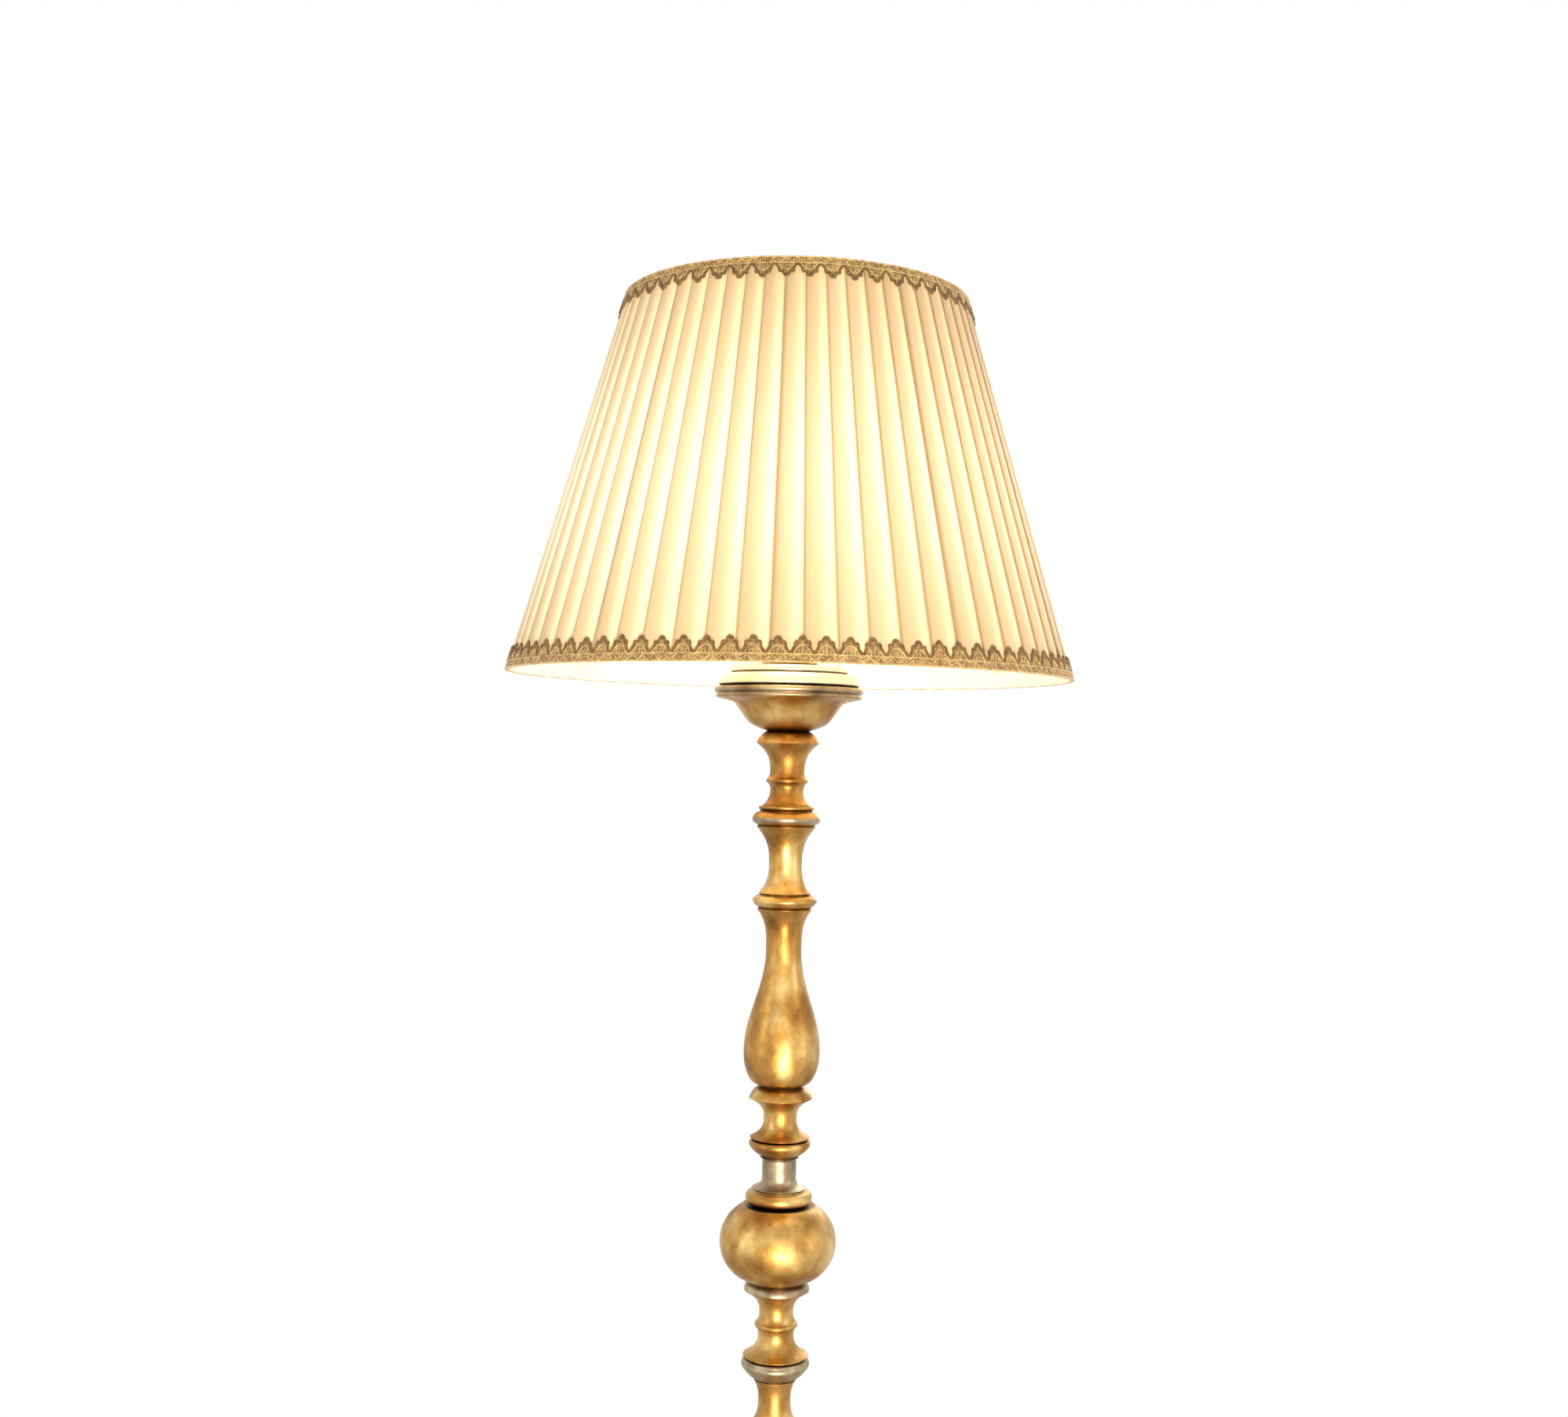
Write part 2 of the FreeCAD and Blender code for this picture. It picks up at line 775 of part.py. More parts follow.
def holder_contact(low):
    """The springy tongue under the bulb's button, bent up from a strip."""
    half = contact_wide / 2
    reach = shell_r - shell_wall - 1.0
    thick = shell_wall
    side = [V(-reach, 0, low), V(-half, 0, low + contact_rise - thick), V(half, 0, low + contact_rise - thick)]
    side += [V(half, 0, low + contact_rise), V(-half, 0, low + contact_rise), V(-reach, 0, low + thick)]
    strip = Part.Face(Part.makePolygon(side + side[:1])).extrude(V(0, contact_wide, 0))
    strip.translate(V(0, -half, 0))
    return strip


def shade_ring_nut(low):
    """A flanged ring nut with finger grips round its edge."""
    bore_r = holder_thread_r + nut_ring_clear
    ring = spun([
        (bore_r, low), (nut_ring_r, low), (nut_ring_r, low + nut_ring_lip),
        (nut_ring_hub_r, low + nut_ring_lip), (nut_ring_hub_r - groove, low + nut_ring_rise),
        (bore_r, low + nut_ring_rise)])
    for i in range(nut_grips):
        place = ring_point(nut_ring_r + nut_grip_r / 2, i * 360 / nut_grips, low)
        ring = ring.cut(Part.makeCylinder(nut_grip_r, nut_ring_lip, place))
    return ring


# The bulb

def bulb_cap(low):
    """The screw cap: a cone below, then rounded turns of thread."""
    turn = (cap_rise - cap_cone_rise) / cap_thread_turns
    root_r = cap_r - cap_thread_deep
    z = low + cap_cone_rise
    edges = [Part.makeLine(V(insulator_r, 0, low), V(root_r, 0, z))]
    for i in range(cap_thread_turns):
        edges.append(Part.Arc(V(root_r, 0, z), V(cap_r, 0, z + turn / 2), V(root_r, 0, z + turn)).toShape())
        z += turn
    inner = [(root_r, z), (root_r - cap_wall, z), (root_r - cap_wall, low + cap_cone_rise)]
    inner += [(insulator_r - cap_wall, low), (insulator_r, low)]
    edges += [Part.makeLine(V(a[0], 0, a[1]), V(b[0], 0, b[1])) for a, b in zip(inner, inner[1:])]
    face = Part.Face(Part.Wire(Part.__sortEdges__(edges)))
    return face.revolve(V(0, 0, 0), V(0, 0, 1), 360), z


def bulb_contact(low, button_low):
    """The black glass insulator in the cap's mouth, with the button under it."""
    cone = Part.makeCone(button_r, insulator_r - cap_wall, low - button_low - button_rise / 2)
    cone.translate(V(0, 0, button_low + button_rise / 2))
    button = Part.makeCylinder(button_r, button_rise / 2, V(0, 0, button_low))
    return cone.fuse(button).removeSplitter()


def bulb_glass(low, foot):
    """A hollow globe that runs down into a neck, in the cap."""
    centre = foot + glass_centre
    neck_r = cap_r - cap_thread_deep - cap_wall
    meet = math.radians(glass_meet_deg)

    def skin(wall):
        globe = glass_r - wall
        shoulder = V(globe * math.cos(meet), 0, centre + globe * math.sin(meet))
        base = low - cap_rise / 2 - glass_wall + wall
        neck_foot = V(neck_r - wall, 0, low)
        neck_top = V(glass_neck_r - wall, 0, low + groove)
        reach = (shoulder.z - neck_top.z) / 3
        lean = V(math.sin(meet), 0, -math.cos(meet)).multiply(reach * glass_shoulder_pull)
        curve = Part.BezierCurve()
        curve.setPoles([neck_top, neck_top.add(V(0, 0, reach)), shoulder.add(lean), shoulder])
        top = V(0, 0, centre + globe)
        side = V(globe, 0, centre)
        corners = [top, V(0, 0, base), V(neck_r - wall, 0, base), neck_foot, neck_top]
        edges = [Part.makeLine(a, b) for a, b in zip(corners, corners[1:])]
        edges += [curve.toShape(), Part.Arc(shoulder, side, top).toShape()]
        face = Part.Face(Part.Wire(edges))
        return face.revolve(V(0, 0, 0), V(0, 0, 1), 360)

    return skin(0.0).cut(skin(glass_wall))


def bulb_filament(low, foot):
    """Four filament rods round a glass stem."""
    centre = foot + glass_centre
    bottom = low - cap_rise / 2
    stem = Part.makeCylinder(filament_stem_r, centre - filament_tall / 2 - bottom, V(0, 0, bottom))
    plate = Part.makeCylinder(filament_circle_r + filament_r, filament_r, V(0, 0, centre - filament_tall / 2))
    rods = [stem.fuse(plate)]
    for i in range(filament_count):
        foot_point = ring_point(filament_circle_r, 45 + i * 360 / filament_count, centre - filament_tall / 2)
        rods.append(Part.makeCylinder(filament_r, filament_tall, foot_point.add(V(0, 0, filament_r))))
    return Part.makeCompound(rods)


# The shade

class Cone:
    """The slanting wall of the shade: its radius at a height, moved in by a depth."""

    def __init__(self, z0):
        self.z0 = z0
        self.z1 = z0 + shade_high
        self.slope = (shade_top_r - shade_foot_r) / shade_high
        self.slant = math.sqrt(1 + self.slope ** 2)

    def r(self, z, depth=0.0):
        return shade_foot_r + self.slope * (z - self.z0) - depth * self.slant

    def wall(self, outer_depth, thick, low, high):
        inner_depth = outer_depth + thick
        return spun([
            (self.r(low, outer_depth), low), (self.r(high, outer_depth), high),
            (self.r(high, inner_depth), high), (self.r(low, inner_depth), low)])


def pleat_depth():
    """How deep the three layers of a pleat are, from the outer skin to the inner one."""
    return 2 * layer_step + cloth_thick


def pleat_path(cone, z, outside):
    """One closed line round the shade along the outer or the inner skin of the folded cloth.

    Every pleat runs over its neighbour, slopes in, lies under the next one and folds back.
    """
    half = cloth_thick / 2
    side = 1 if outside else -1
    pitch = 360.0 / pleats
    wall_deg = math.degrees(cloth_thick / cone.r(z))
    thick_deg = 0.0 if outside else wall_deg
    top, middle, bottom = half, half + layer_step, half + 2 * layer_step
    stations = [
        (0.0, top, thick_deg, side),
        (pleat_overlap, top, 0.0, side),
        (pleat_overlap + pleat_slope, bottom, 0.0, side),
        (1 + pleat_overlap, bottom, thick_deg, side),
        (1 + pleat_overlap, middle, thick_deg, -side),
        (1.0, middle, thick_deg, -side)]
    points = []
    for i in range(pleats):
        for share, depth, extra, skin in stations:
            angle = first_fold_deg + (i + share) * pitch + extra
            points.append(ring_point(cone.r(z, depth - skin * half), angle, z))
    return Part.makePolygon(points + points[:1])


def pleated_cover(cone):
    """Sixty knife pleats: one folded cloth, thicker where its three layers overlap."""
    skins = []
    for outside in (True, False):
        foot = pleat_path(cone, cone.z0, outside)
        top = pleat_path(cone, cone.z1, outside)
        skins.append(Part.makeLoft([foot, top], True, True))
    return skins[0].cut(skins[1])


def frame_depth():
    """Where the wires begin: clear of the inner skin, whose long flats cut inside their circle."""
    half_flat_deg = (1 - pleat_slope) * 180.0 / pleats
    flat_sag = shade_foot_r * (1 - math.cos(math.radians(half_flat_deg)))
    return pleat_depth() + flat_sag + skin_clear


def wire_ring(cone, z):
    """A hoop of round wire, just inside the cover."""
    return Part.makeTorus(cone.r(z, frame_depth() + ring_wire_r), ring_wire_r, V(0, 0, z))


def rod(start, end, r):
    along = end.sub(start)
    return Part.makeCylinder(r, along.Length, start, along)


def frame_ribs(cone, foot_z, top_z):
    """Ten straight wires under the cover, each butted on the two hoops."""
    depth = frame_depth() + ring_wire_r
    ribs = []
    for i in range(rib_count):
        angle = first_fold_deg + i * 360 / rib_count
        foot = ring_point(cone.r(foot_z, depth), angle, foot_z)
        top = ring_point(cone.r(top_z, depth), angle, top_z)
        out = ring_point(1 / cone.slant, angle, -cone.slope / cone.slant).multiply(ring_wire_r - rib_r)
        butt = top.sub(foot).normalize().multiply(ring_wire_r + skin_clear)
        ribs.append(rod(foot.add(out).add(butt), top.add(out).sub(butt), rib_r))
    return Part.makeCompound(ribs)


def largest(shape):
    return max(shape.Solids, key=lambda solid: solid.Volume)


def inner_lining(cone, arm_slants):
    """A smooth cone of cloth inside the wires, slit where the three arms pass through it."""
    depth = frame_depth() + 2 * max(rib_r, ring_wire_r) + skin_clear
    wall = cone.wall(depth, lining_thick, cone.z0 + lining_hem, cone.z1 - lining_hem)
    return wall.cut([rod(start, end, arm_r + part_clear) for start, end in arm_slants])


def fitter_ring(low):
    return tube_between(fitter_r, holder_thread_r + nut_ring_clear, low, low + fitter_thick)


def arm_slant_ends(cone, level, ring_z):
    """The slanting part of each arm, from its bend to the middle of the lower hoop."""
    hoop_r = cone.r(ring_z, frame_depth() + ring_wire_r)
    angles = [first_arm_deg + i * 360 / arm_count for i in range(arm_count)]
    return [(ring_point(fitter_r + arm_level, a, level), ring_point(hoop_r, a, ring_z)) for a in angles]


def shade_arms(arm_slants, foot_ring):
    """Three wires: level from the fitter ring, then down to the lower hoop."""
    arms = []
    for bend, end in arm_slants:
        out = V(bend.x, bend.y, 0).normalize()
        start = V(0, 0, bend.z).add(out.multiply(fitter_r - arm_r))
        knee = Part.makeSphere(arm_r, bend)
        arm = rod(start, bend, arm_r).fuse([knee, rod(bend, end, arm_r)])
        plate = Part.makeCylinder(fitter_r, 4 * arm_r, V(0, 0, bend.z - 2 * arm_r))
        arms.append(largest(arm.removeSplitter().cut(plate).cut(foot_ring)))
    return Part.makeCompound(arms)


def braid(cone, low, high, scallops, edge_z, inward):
    """A flat braid round the cover, one edge cut into scallops.

    edge_z is the height of the tips, and inward is the way from the tips to the braid's band.
    """
    outer = cone.wall(-braid_thick - skin_clear, braid_thick, low, high)
    pitch = 360.0 / scallops
    deep = inward * scallop_deep
    cutters = []
    for i in range(scallops):
        centre = (i + 0.5) * pitch
        corners = [(-0.5 + scallop_tip / 2, -inward), (-0.5 + scallop_tip / 2, 0), (-scallop_valley / 2, deep * 0.62)]
        corners += [(-scallop_valley / 4, deep), (scallop_valley / 4, deep), (scallop_valley / 2, deep * 0.62)]
        corners += [(0.5 - scallop_tip / 2, 0), (0.5 - scallop_tip / 2, -inward)]
        near = [ring_point(cone.r(edge_z) - 8, centre + x * pitch, edge_z + z) for x, z in corners]
        far = [ring_point(cone.r(edge_z) + 8, centre + x * pitch, edge_z + z) for x, z in corners]
        cutters.append(prism(near, far))
    return outer.cut(Part.makeCompound(cutters))


def prism(near, far):
    return Part.makeLoft([Part.makePolygon(near + near[:1]), Part.makePolygon(far + far[:1])], True, True)


def export(name, shape):
    shape.exportStep("parts/" + name + ".step")
    print(name, "solids", len(shape.Solids), "volume", round(shape.Volume / 1000, 2), "cm3",
          "valid", shape.isValid())


def build_base():
    plinth, top = base_plinth(felt_thick)
    export("felt_disc", felt_disc())
    export("base_plinth", plinth)
    export("base_weight", base_weight(felt_thick))
    export("weight_screws", weight_screws(felt_thick))
    export("cord_bush", cord_bush())
    export("terminal_block", terminal_block(felt_thick))
    bead, top = base_bead(top)
    export("base_bead", bead)
    dome, top = base_dome(top)
    export("base_dome", dome)
    return top


def column_lines():
    """The turned pieces above the base, from the bottom up."""
    return [
        ("foot_collar", collar(foot_collar_foot_r, foot_collar_r, foot_collar_top_r,
                               foot_collar_under, foot_collar_edge, foot_collar_over)),
        ("foot_vase", vase(foot_vase_foot_r, foot_vase_belly_r, foot_vase_neck_r, foot_vase_lip_r,
                           foot_vase_belly_rise, foot_vase_neck_rise, foot_vase_lip_rise)),
        ("collar_1", collar(collar_1_foot_r, collar_1_r, collar_1_top_r,
                            collar_1_under, collar_1_edge, collar_1_over)),
        ("spool_1", spool_1_line()),
        ("ball_lower", ball(lower_ball_foot_r, lower_ball_belly_r, lower_ball_round_r, lower_ball_top_r)),
        ("ring_lower", half_round(lower_ring_seat_r, lower_ring_r, lower_ring_rise)),
        ("neck_lower", neck(lower_neck_foot_r, lower_neck_r, lower_neck_top_r,
                            lower_neck_foot_rise, lower_neck_rise, lower_neck_top_rise)),
        ("collar_2", collar(collar_2_foot_r, collar_2_r, collar_2_top_r,
                            collar_2_under, collar_2_edge, collar_2_over)),
        ("spool_2", spool_2_line()),
        ("vase_lower", vase(lower_vase_foot_r, lower_vase_belly_r, lower_vase_neck_r, lower_vase_lip_r,
                            lower_vase_belly_rise, lower_vase_neck_rise, lower_vase_lip_rise)),
        ("collar_3", collar(collar_3_foot_r, collar_3_r, collar_3_top_r,
                            collar_3_under, collar_3_edge, collar_3_over)),
        ("spool_3", spool(spool_3_foot_r, spool_3_waist_r, spool_3_top_r,
                          spool_3_waist_rise, spool_3_top_rise)),
        ("collar_4", collar(collar_4_foot_r, collar_4_r, collar_4_top_r,
                            collar_4_under, collar_4_edge, collar_4_over)),
        ("spool_4", spool_4_line()),
        ("ball_upper", ball(upper_ball_foot_r, upper_ball_belly_r, upper_ball_round_r, upper_ball_top_r)),
        ("ring_upper", half_round(upper_ring_seat_r, upper_ring_r, upper_ring_rise)),
        ("neck_upper", neck(upper_neck_foot_r, upper_neck_r, upper_neck_top_r,
                            upper_neck_foot_rise, upper_neck_rise, upper_neck_top_rise)),
        ("collar_5", collar(collar_5_foot_r, collar_5_r, collar_5_top_r,
                            collar_5_under, collar_5_edge, collar_5_over)),
        ("spool_5", spool_5_line()),
        ("vase_upper", vase(upper_vase_foot_r, upper_vase_belly_r, upper_vase_neck_r, upper_vase_lip_r,
                            upper_vase_belly_rise, upper_vase_neck_rise, upper_vase_lip_rise)),
        ("collar_6", collar(collar_6_foot_r, collar_6_r, collar_6_top_r,
                            collar_6_under, collar_6_edge, collar_6_over)),
        ("spool_6", spool(spool_6_foot_r, spool_6_waist_r, spool_6_top_r,
                          spool_6_waist_rise, spool_6_top_rise)),
        ("collar_7", collar(collar_7_foot_r, collar_7_r, collar_7_top_r,
                            collar_7_under, collar_7_edge, collar_7_over)),
        ("spool_7", spool_7_line()),
        ("drip_dish", dish_line()),
        ("dish_top", dish_top_line()),
    ]


def build_column(z):
    """Stacks the turned pieces, each on the one below."""
    for name, line in column_lines():
        solid, z = turned(line, z)
        export(name, solid)
        print(name, "top at", round(z, 1))
    cup, z = turned(cup_line(), z, socket=False)
    seat = z - cup_recess_deep
    cup = cup.cut(Part.makeCylinder(holder_cap_r + part_clear, cup_recess_deep, V(0, 0, seat)))
    export("candle_cup", cup)
    return seat


def build_stem(seat):
    roof = felt_thick + recess_deep
    export("stem_washer", tube_between(washer_r, tube_r + tube_clear, roof - washer_thick, roof))
    nut_top = roof - washer_thick
    export("stem_nut", stem_nut(nut_top))
    low = nut_top - nut_thick - tube_below_nut
    high = seat + 3 * holder_wall
    export("stem_tube", tube_between(tube_r, tube_r - tube_wall, low, high))
    lead_top = seat + holder_cap_rise + insert_rise
    export("inner_lead", inner_lead(lead_top, felt_thick))


def build_holder(seat):
    export("holder_cap", holder_cap(seat))
    export("holder_skirt", holder_skirt(seat))
    insert, contact_low = holder_insert(seat)
    export("holder_insert", insert)
    export("holder_shell", holder_shell(contact_low, seat))
    export("holder_contact", holder_contact(contact_low))
    return contact_low + contact_rise


def build_bulb(button_low):
    low = button_low + button_rise + cap_cone_rise / 2
    cap, cap_top = bulb_cap(low)
    export("bulb_cap", cap)
    export("bulb_contact", bulb_contact(low, button_low))
    export("bulb_glass", bulb_glass(cap_top, button_low))
    export("bulb_filament", bulb_filament(cap_top, button_low))


def build_shade(fitter_low):
    cone = Cone(fitter_low + fitter_thick - shade_drop)
    foot_z = cone.z0 + ring_inset
    top_z = cone.z1 - ring_inset
    foot_ring = wire_ring(cone, foot_z)
    top_ring = wire_ring(cone, top_z)
    arm_slants = arm_slant_ends(cone, fitter_low + fitter_thick / 2, foot_z)
    export("fitter_ring", fitter_ring(fitter_low))
    export("shade_arms", shade_arms(arm_slants, foot_ring))
    export("foot_wire_ring", foot_ring)
    export("top_wire_ring", top_ring)
    export("frame_ribs", frame_ribs(cone, foot_z, top_z))
    export("inner_lining", inner_lining(cone, arm_slants))
    export("pleated_cover", pleated_cover(cone))
    foot_edge = cone.z0 + foot_braid_tall
    export("foot_braid", braid(cone, cone.z0, foot_edge, foot_scallops, foot_edge, -1))
    top_edge = cone.z1 - top_braid_tall
    export("top_braid", braid(cone, top_edge, cone.z1, top_scallops, top_edge, 1))
    print("shade from", round(cone.z0, 1), "to", round(cone.z1, 1))


def main():
    os.makedirs("parts", exist_ok=True)
    seat = build_column(build_base())
    build_stem(seat)
    button_low = build_holder(seat) + part_clear / 2
    fitter_low = seat + holder_shoulder_z + part_clear / 2
    build_shade(fitter_low)
    export("shade_ring_nut", shade_ring_nut(fitter_low + fitter_thick + part_clear / 2))
    build_bulb(button_low)


main()
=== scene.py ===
import json
import math
import random

import bmesh
import bpy
from mathutils import Matrix, Vector, noise


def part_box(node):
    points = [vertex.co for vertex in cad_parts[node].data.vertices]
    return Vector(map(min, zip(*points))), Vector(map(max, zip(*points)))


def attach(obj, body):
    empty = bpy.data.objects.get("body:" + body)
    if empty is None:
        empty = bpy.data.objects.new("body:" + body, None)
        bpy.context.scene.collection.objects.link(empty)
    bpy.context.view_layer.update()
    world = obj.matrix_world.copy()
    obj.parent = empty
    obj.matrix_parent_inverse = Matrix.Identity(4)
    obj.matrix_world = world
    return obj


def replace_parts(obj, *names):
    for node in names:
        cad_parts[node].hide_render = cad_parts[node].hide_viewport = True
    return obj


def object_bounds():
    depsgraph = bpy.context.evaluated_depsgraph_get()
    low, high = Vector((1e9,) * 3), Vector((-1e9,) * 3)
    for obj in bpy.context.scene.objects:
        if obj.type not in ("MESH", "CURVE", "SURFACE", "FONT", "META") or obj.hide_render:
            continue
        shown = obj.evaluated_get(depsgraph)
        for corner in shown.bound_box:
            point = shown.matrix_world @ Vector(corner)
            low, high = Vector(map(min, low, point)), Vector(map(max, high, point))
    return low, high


# A candlestick floor lamp, lit. The frame's turned and metal pieces get their finishes here, and the
# drip dish, the felt, the pleated cover, the lining and the two braids are built in full.

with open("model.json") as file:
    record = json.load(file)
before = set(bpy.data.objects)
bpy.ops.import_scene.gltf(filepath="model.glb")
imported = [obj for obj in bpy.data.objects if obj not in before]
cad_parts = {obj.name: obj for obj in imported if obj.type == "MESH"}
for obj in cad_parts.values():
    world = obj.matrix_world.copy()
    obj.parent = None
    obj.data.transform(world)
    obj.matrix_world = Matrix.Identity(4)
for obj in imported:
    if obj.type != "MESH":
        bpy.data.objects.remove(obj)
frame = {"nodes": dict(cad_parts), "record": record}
nodes = frame["nodes"]
cadLow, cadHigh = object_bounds()
scene = bpy.context.scene
mm = 0.001
fullTurn = 2 * math.pi


# Small tools

def linear(text):  # an sRGB hex value as the linear colour that a socket takes
    channels = []
    for start in (0, 2, 4):
        value = int(text[start:start + 2], 16) / 255
        channels.append(value / 12.92 if value < 0.04045 else ((value + 0.055) / 1.055) ** 2.4)
    return (*channels, 1.0)


def addNode(tree, kind, links=None, **values):
    made = tree.nodes.new("ShaderNode" + kind)
    for key, value in values.items():
        if hasattr(made, key):
            setattr(made, key, value)
        else:
            made.inputs[key.replace("_", " ")].default_value = value
    for key, source in (links or {}).items():
        tree.links.new(source, made.inputs[key])
    return made


def feed(tree, socket, value):  # a link from another node, or a plain value
    if hasattr(value, "is_output"):
        tree.links.new(value, socket)
    else:
        socket.default_value = value


def newMaterial(name, **values):
    material = bpy.data.materials.new(name)
    material.use_nodes = True
    tree = material.node_tree
    shader = tree.nodes["Principled BSDF"]
    for key, value in values.items():
        shader.inputs[key.replace("_", " ")].default_value = value
    return material, tree, shader


def rampOf(tree, source, stops):
    ramp = tree.nodes.new("ShaderNodeValToRGB")
    while len(ramp.color_ramp.elements) < len(stops):
        ramp.color_ramp.elements.new(0.5)
    for element, (place, colour) in zip(ramp.color_ramp.elements, stops):
        element.position = place
        element.color = colour
    tree.links.new(source, ramp.inputs["Fac"])
    return ramp.outputs["Color"]


def greyStops(*pairs):
    return [(place, (value, value, value, 1.0)) for place, value in pairs]


def objectNoise(tree, perMetre, detail=4.0, stretch=(1, 1, 1), roughness=0.55):
    where = addNode(tree, "TexCoord").outputs["Object"]
    place = addNode(tree, "Mapping", {"Vector": where}, Scale=stretch)
    made = addNode(tree, "TexNoise", {"Vector": place.outputs["Vector"]},
                   Scale=perMetre, Detail=detail, Roughness=roughness)
    return made.outputs["Fac"]


def mixColour(tree, share, first, second):
    made = addNode(tree, "Mix", data_type="RGBA")
    for socket, value in ((0, share), (6, first), (7, second)):  # 6 and 7 are its colour inputs
        feed(tree, made.inputs[socket], value)
    return made.outputs[2]


def sums(tree, operation, *values):
    made = addNode(tree, "Math", operation=operation)
    for socket, value in enumerate(values):
        feed(tree, made.inputs[socket], value)
    return made.outputs[0]


def bumpOf(tree, shader, height, strength, distance, before=None):
    links = {"Height": height}
    if before is not None:
        links["Normal"] = before
    made = addNode(tree, "Bump", links, Strength=strength, Distance=distance)
    tree.links.new(made.outputs["Normal"], shader.inputs["Normal"])
    return made.outputs["Normal"]


def dress(material, *names):
    for name in names:
        for slot in nodes[name].material_slots:
            slot.material = material


def addPiece(name, bm, material, body):
    mesh = bpy.data.meshes.new(name)
    bm.to_mesh(mesh)
    bm.free()
    mesh.polygons.foreach_set("use_smooth", [True] * len(mesh.polygons))
    mesh.materials.append(material)
    piece = bpy.data.objects.new(name, mesh)
    scene.collection.objects.link(piece)
    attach(piece, body)
    return piece


def lathe(outline, sides):  # the outline's (r, z) points, turned about the column's axis and capped
    bm = bmesh.new()
    verts = [bm.verts.new((r, 0.0, z)) for r, z in outline]
    edges = [bm.edges.new(pair) for pair in zip(verts, verts[1:])]
    bmesh.ops.spin(bm, geom=verts + edges, cent=(0, 0, 0), axis=(0, 0, 1), angle=fullTurn, steps=sides,
                   use_merge=True)
    bmesh.ops.holes_fill(bm, edges=[edge for edge in bm.edges if edge.is_boundary], sides=0)
    bmesh.ops.recalc_face_normals(bm, faces=bm.faces)
    return bm


def joinRows(bm, rows):  # closed rows of cloth, each joined to the next
    for below, above in zip(rows, rows[1:]):
        for i in range(len(below)):
            j = (i + 1) % len(below)
            bm.faces.new((below[i], below[j], above[j], above[i]))


def smooth(low, high, value):
    t = min(1.0, max(0.0, (value - low) / (high - low)))
    return t * t * (3 - 2 * t)


# Camera, floor and light

photo = {
    "widePixels": 2000, "focalPixels": 2250,
    "back": 1.407, "eye": 1.2855,               # metres from the column and above the floor
    "pitch": 1.617, "yaw": 0.153, "roll": 1.2}  # degrees


def makeCamera():
    data = bpy.data.cameras.new("camera")
    data.sensor_width = 36
    data.lens = photo["focalPixels"] / photo["widePixels"] * data.sensor_width
    camera = bpy.data.objects.new("camera", data)
    scene.collection.objects.link(camera)
    turn = Matrix.Rotation(math.radians(photo["yaw"]), 4, "Z")
    tilt = Matrix.Rotation(math.radians(90 + photo["pitch"]), 4, "X")
    roll = Matrix.Rotation(math.radians(photo["roll"]), 4, "Z")
    camera.matrix_world = Matrix.Translation((0, -photo["back"], photo["eye"])) @ turn @ tilt @ roll
    scene.camera = camera


stage = {"radius": 1.5, "below": 0.2 * mm, "colour": "F4F2EE", "sides": 96}


def makeStage():
    bm = bmesh.new()
    bmesh.ops.create_circle(bm, cap_ends=True, segments=stage["sides"], radius=stage["radius"])
    mesh = bpy.data.meshes.new("floor")
    bm.to_mesh(mesh)
    bm.free()
    floor = bpy.data.objects.new("floor", mesh)
    floor.location.z = cadLow.z - stage["below"]
    scene.collection.objects.link(floor)
    mesh.materials.append(newMaterial("paleFloor", Base_Color=linear(stage["colour"]), Roughness=0.75)[0])


lamps = {  # place, what it faces, width, height, watts, colour, and spread in degrees
    "front": ((0.30, -2.4, 1.5), (0, 0, 1.4), 0.6, 0.8, 6, "FFF8EC", 180),
    "low": ((0.22, -2.3, 0.30), (0, 0, 1.0), 0.40, 0.6, 8, "FFF6E4", 60),
    "left": ((-1.9, -1.0, 1.5), (0, 0, 1.1), 0.35, 1.6, 6, "FFFFFF", 180),
    "right": ((1.9, -0.7, 1.5), (0, 0, 1.1), 0.35, 1.6, 6, "FFFFFF", 180),
    "behind": ((0.9, 2.2, 2.0), (0, 0, 1.0), 0.8, 1.6, 14, "FFFFFF", 180)}
roomGreys = ((0.0, 0.28), (0.45, 0.28), (0.6, 0.36), (1.0, 0.70))  # from the floor to the ceiling


def makeLight(name, place, target, wide, high, power, colour, spread):
    data = bpy.data.lights.new(name, "AREA")
    data.shape = "RECTANGLE"
    data.spread = math.radians(spread)
    data.size = wide
    data.size_y = high
    data.energy = power
    data.color = linear(colour)[:3]
    light = bpy.data.objects.new(name, data)
    aim = Vector(target) - Vector(place)
    light.matrix_world = Matrix.Translation(place) @ aim.to_track_quat("-Z", "Y").to_matrix().to_4x4()
    scene.collection.objects.link(light)


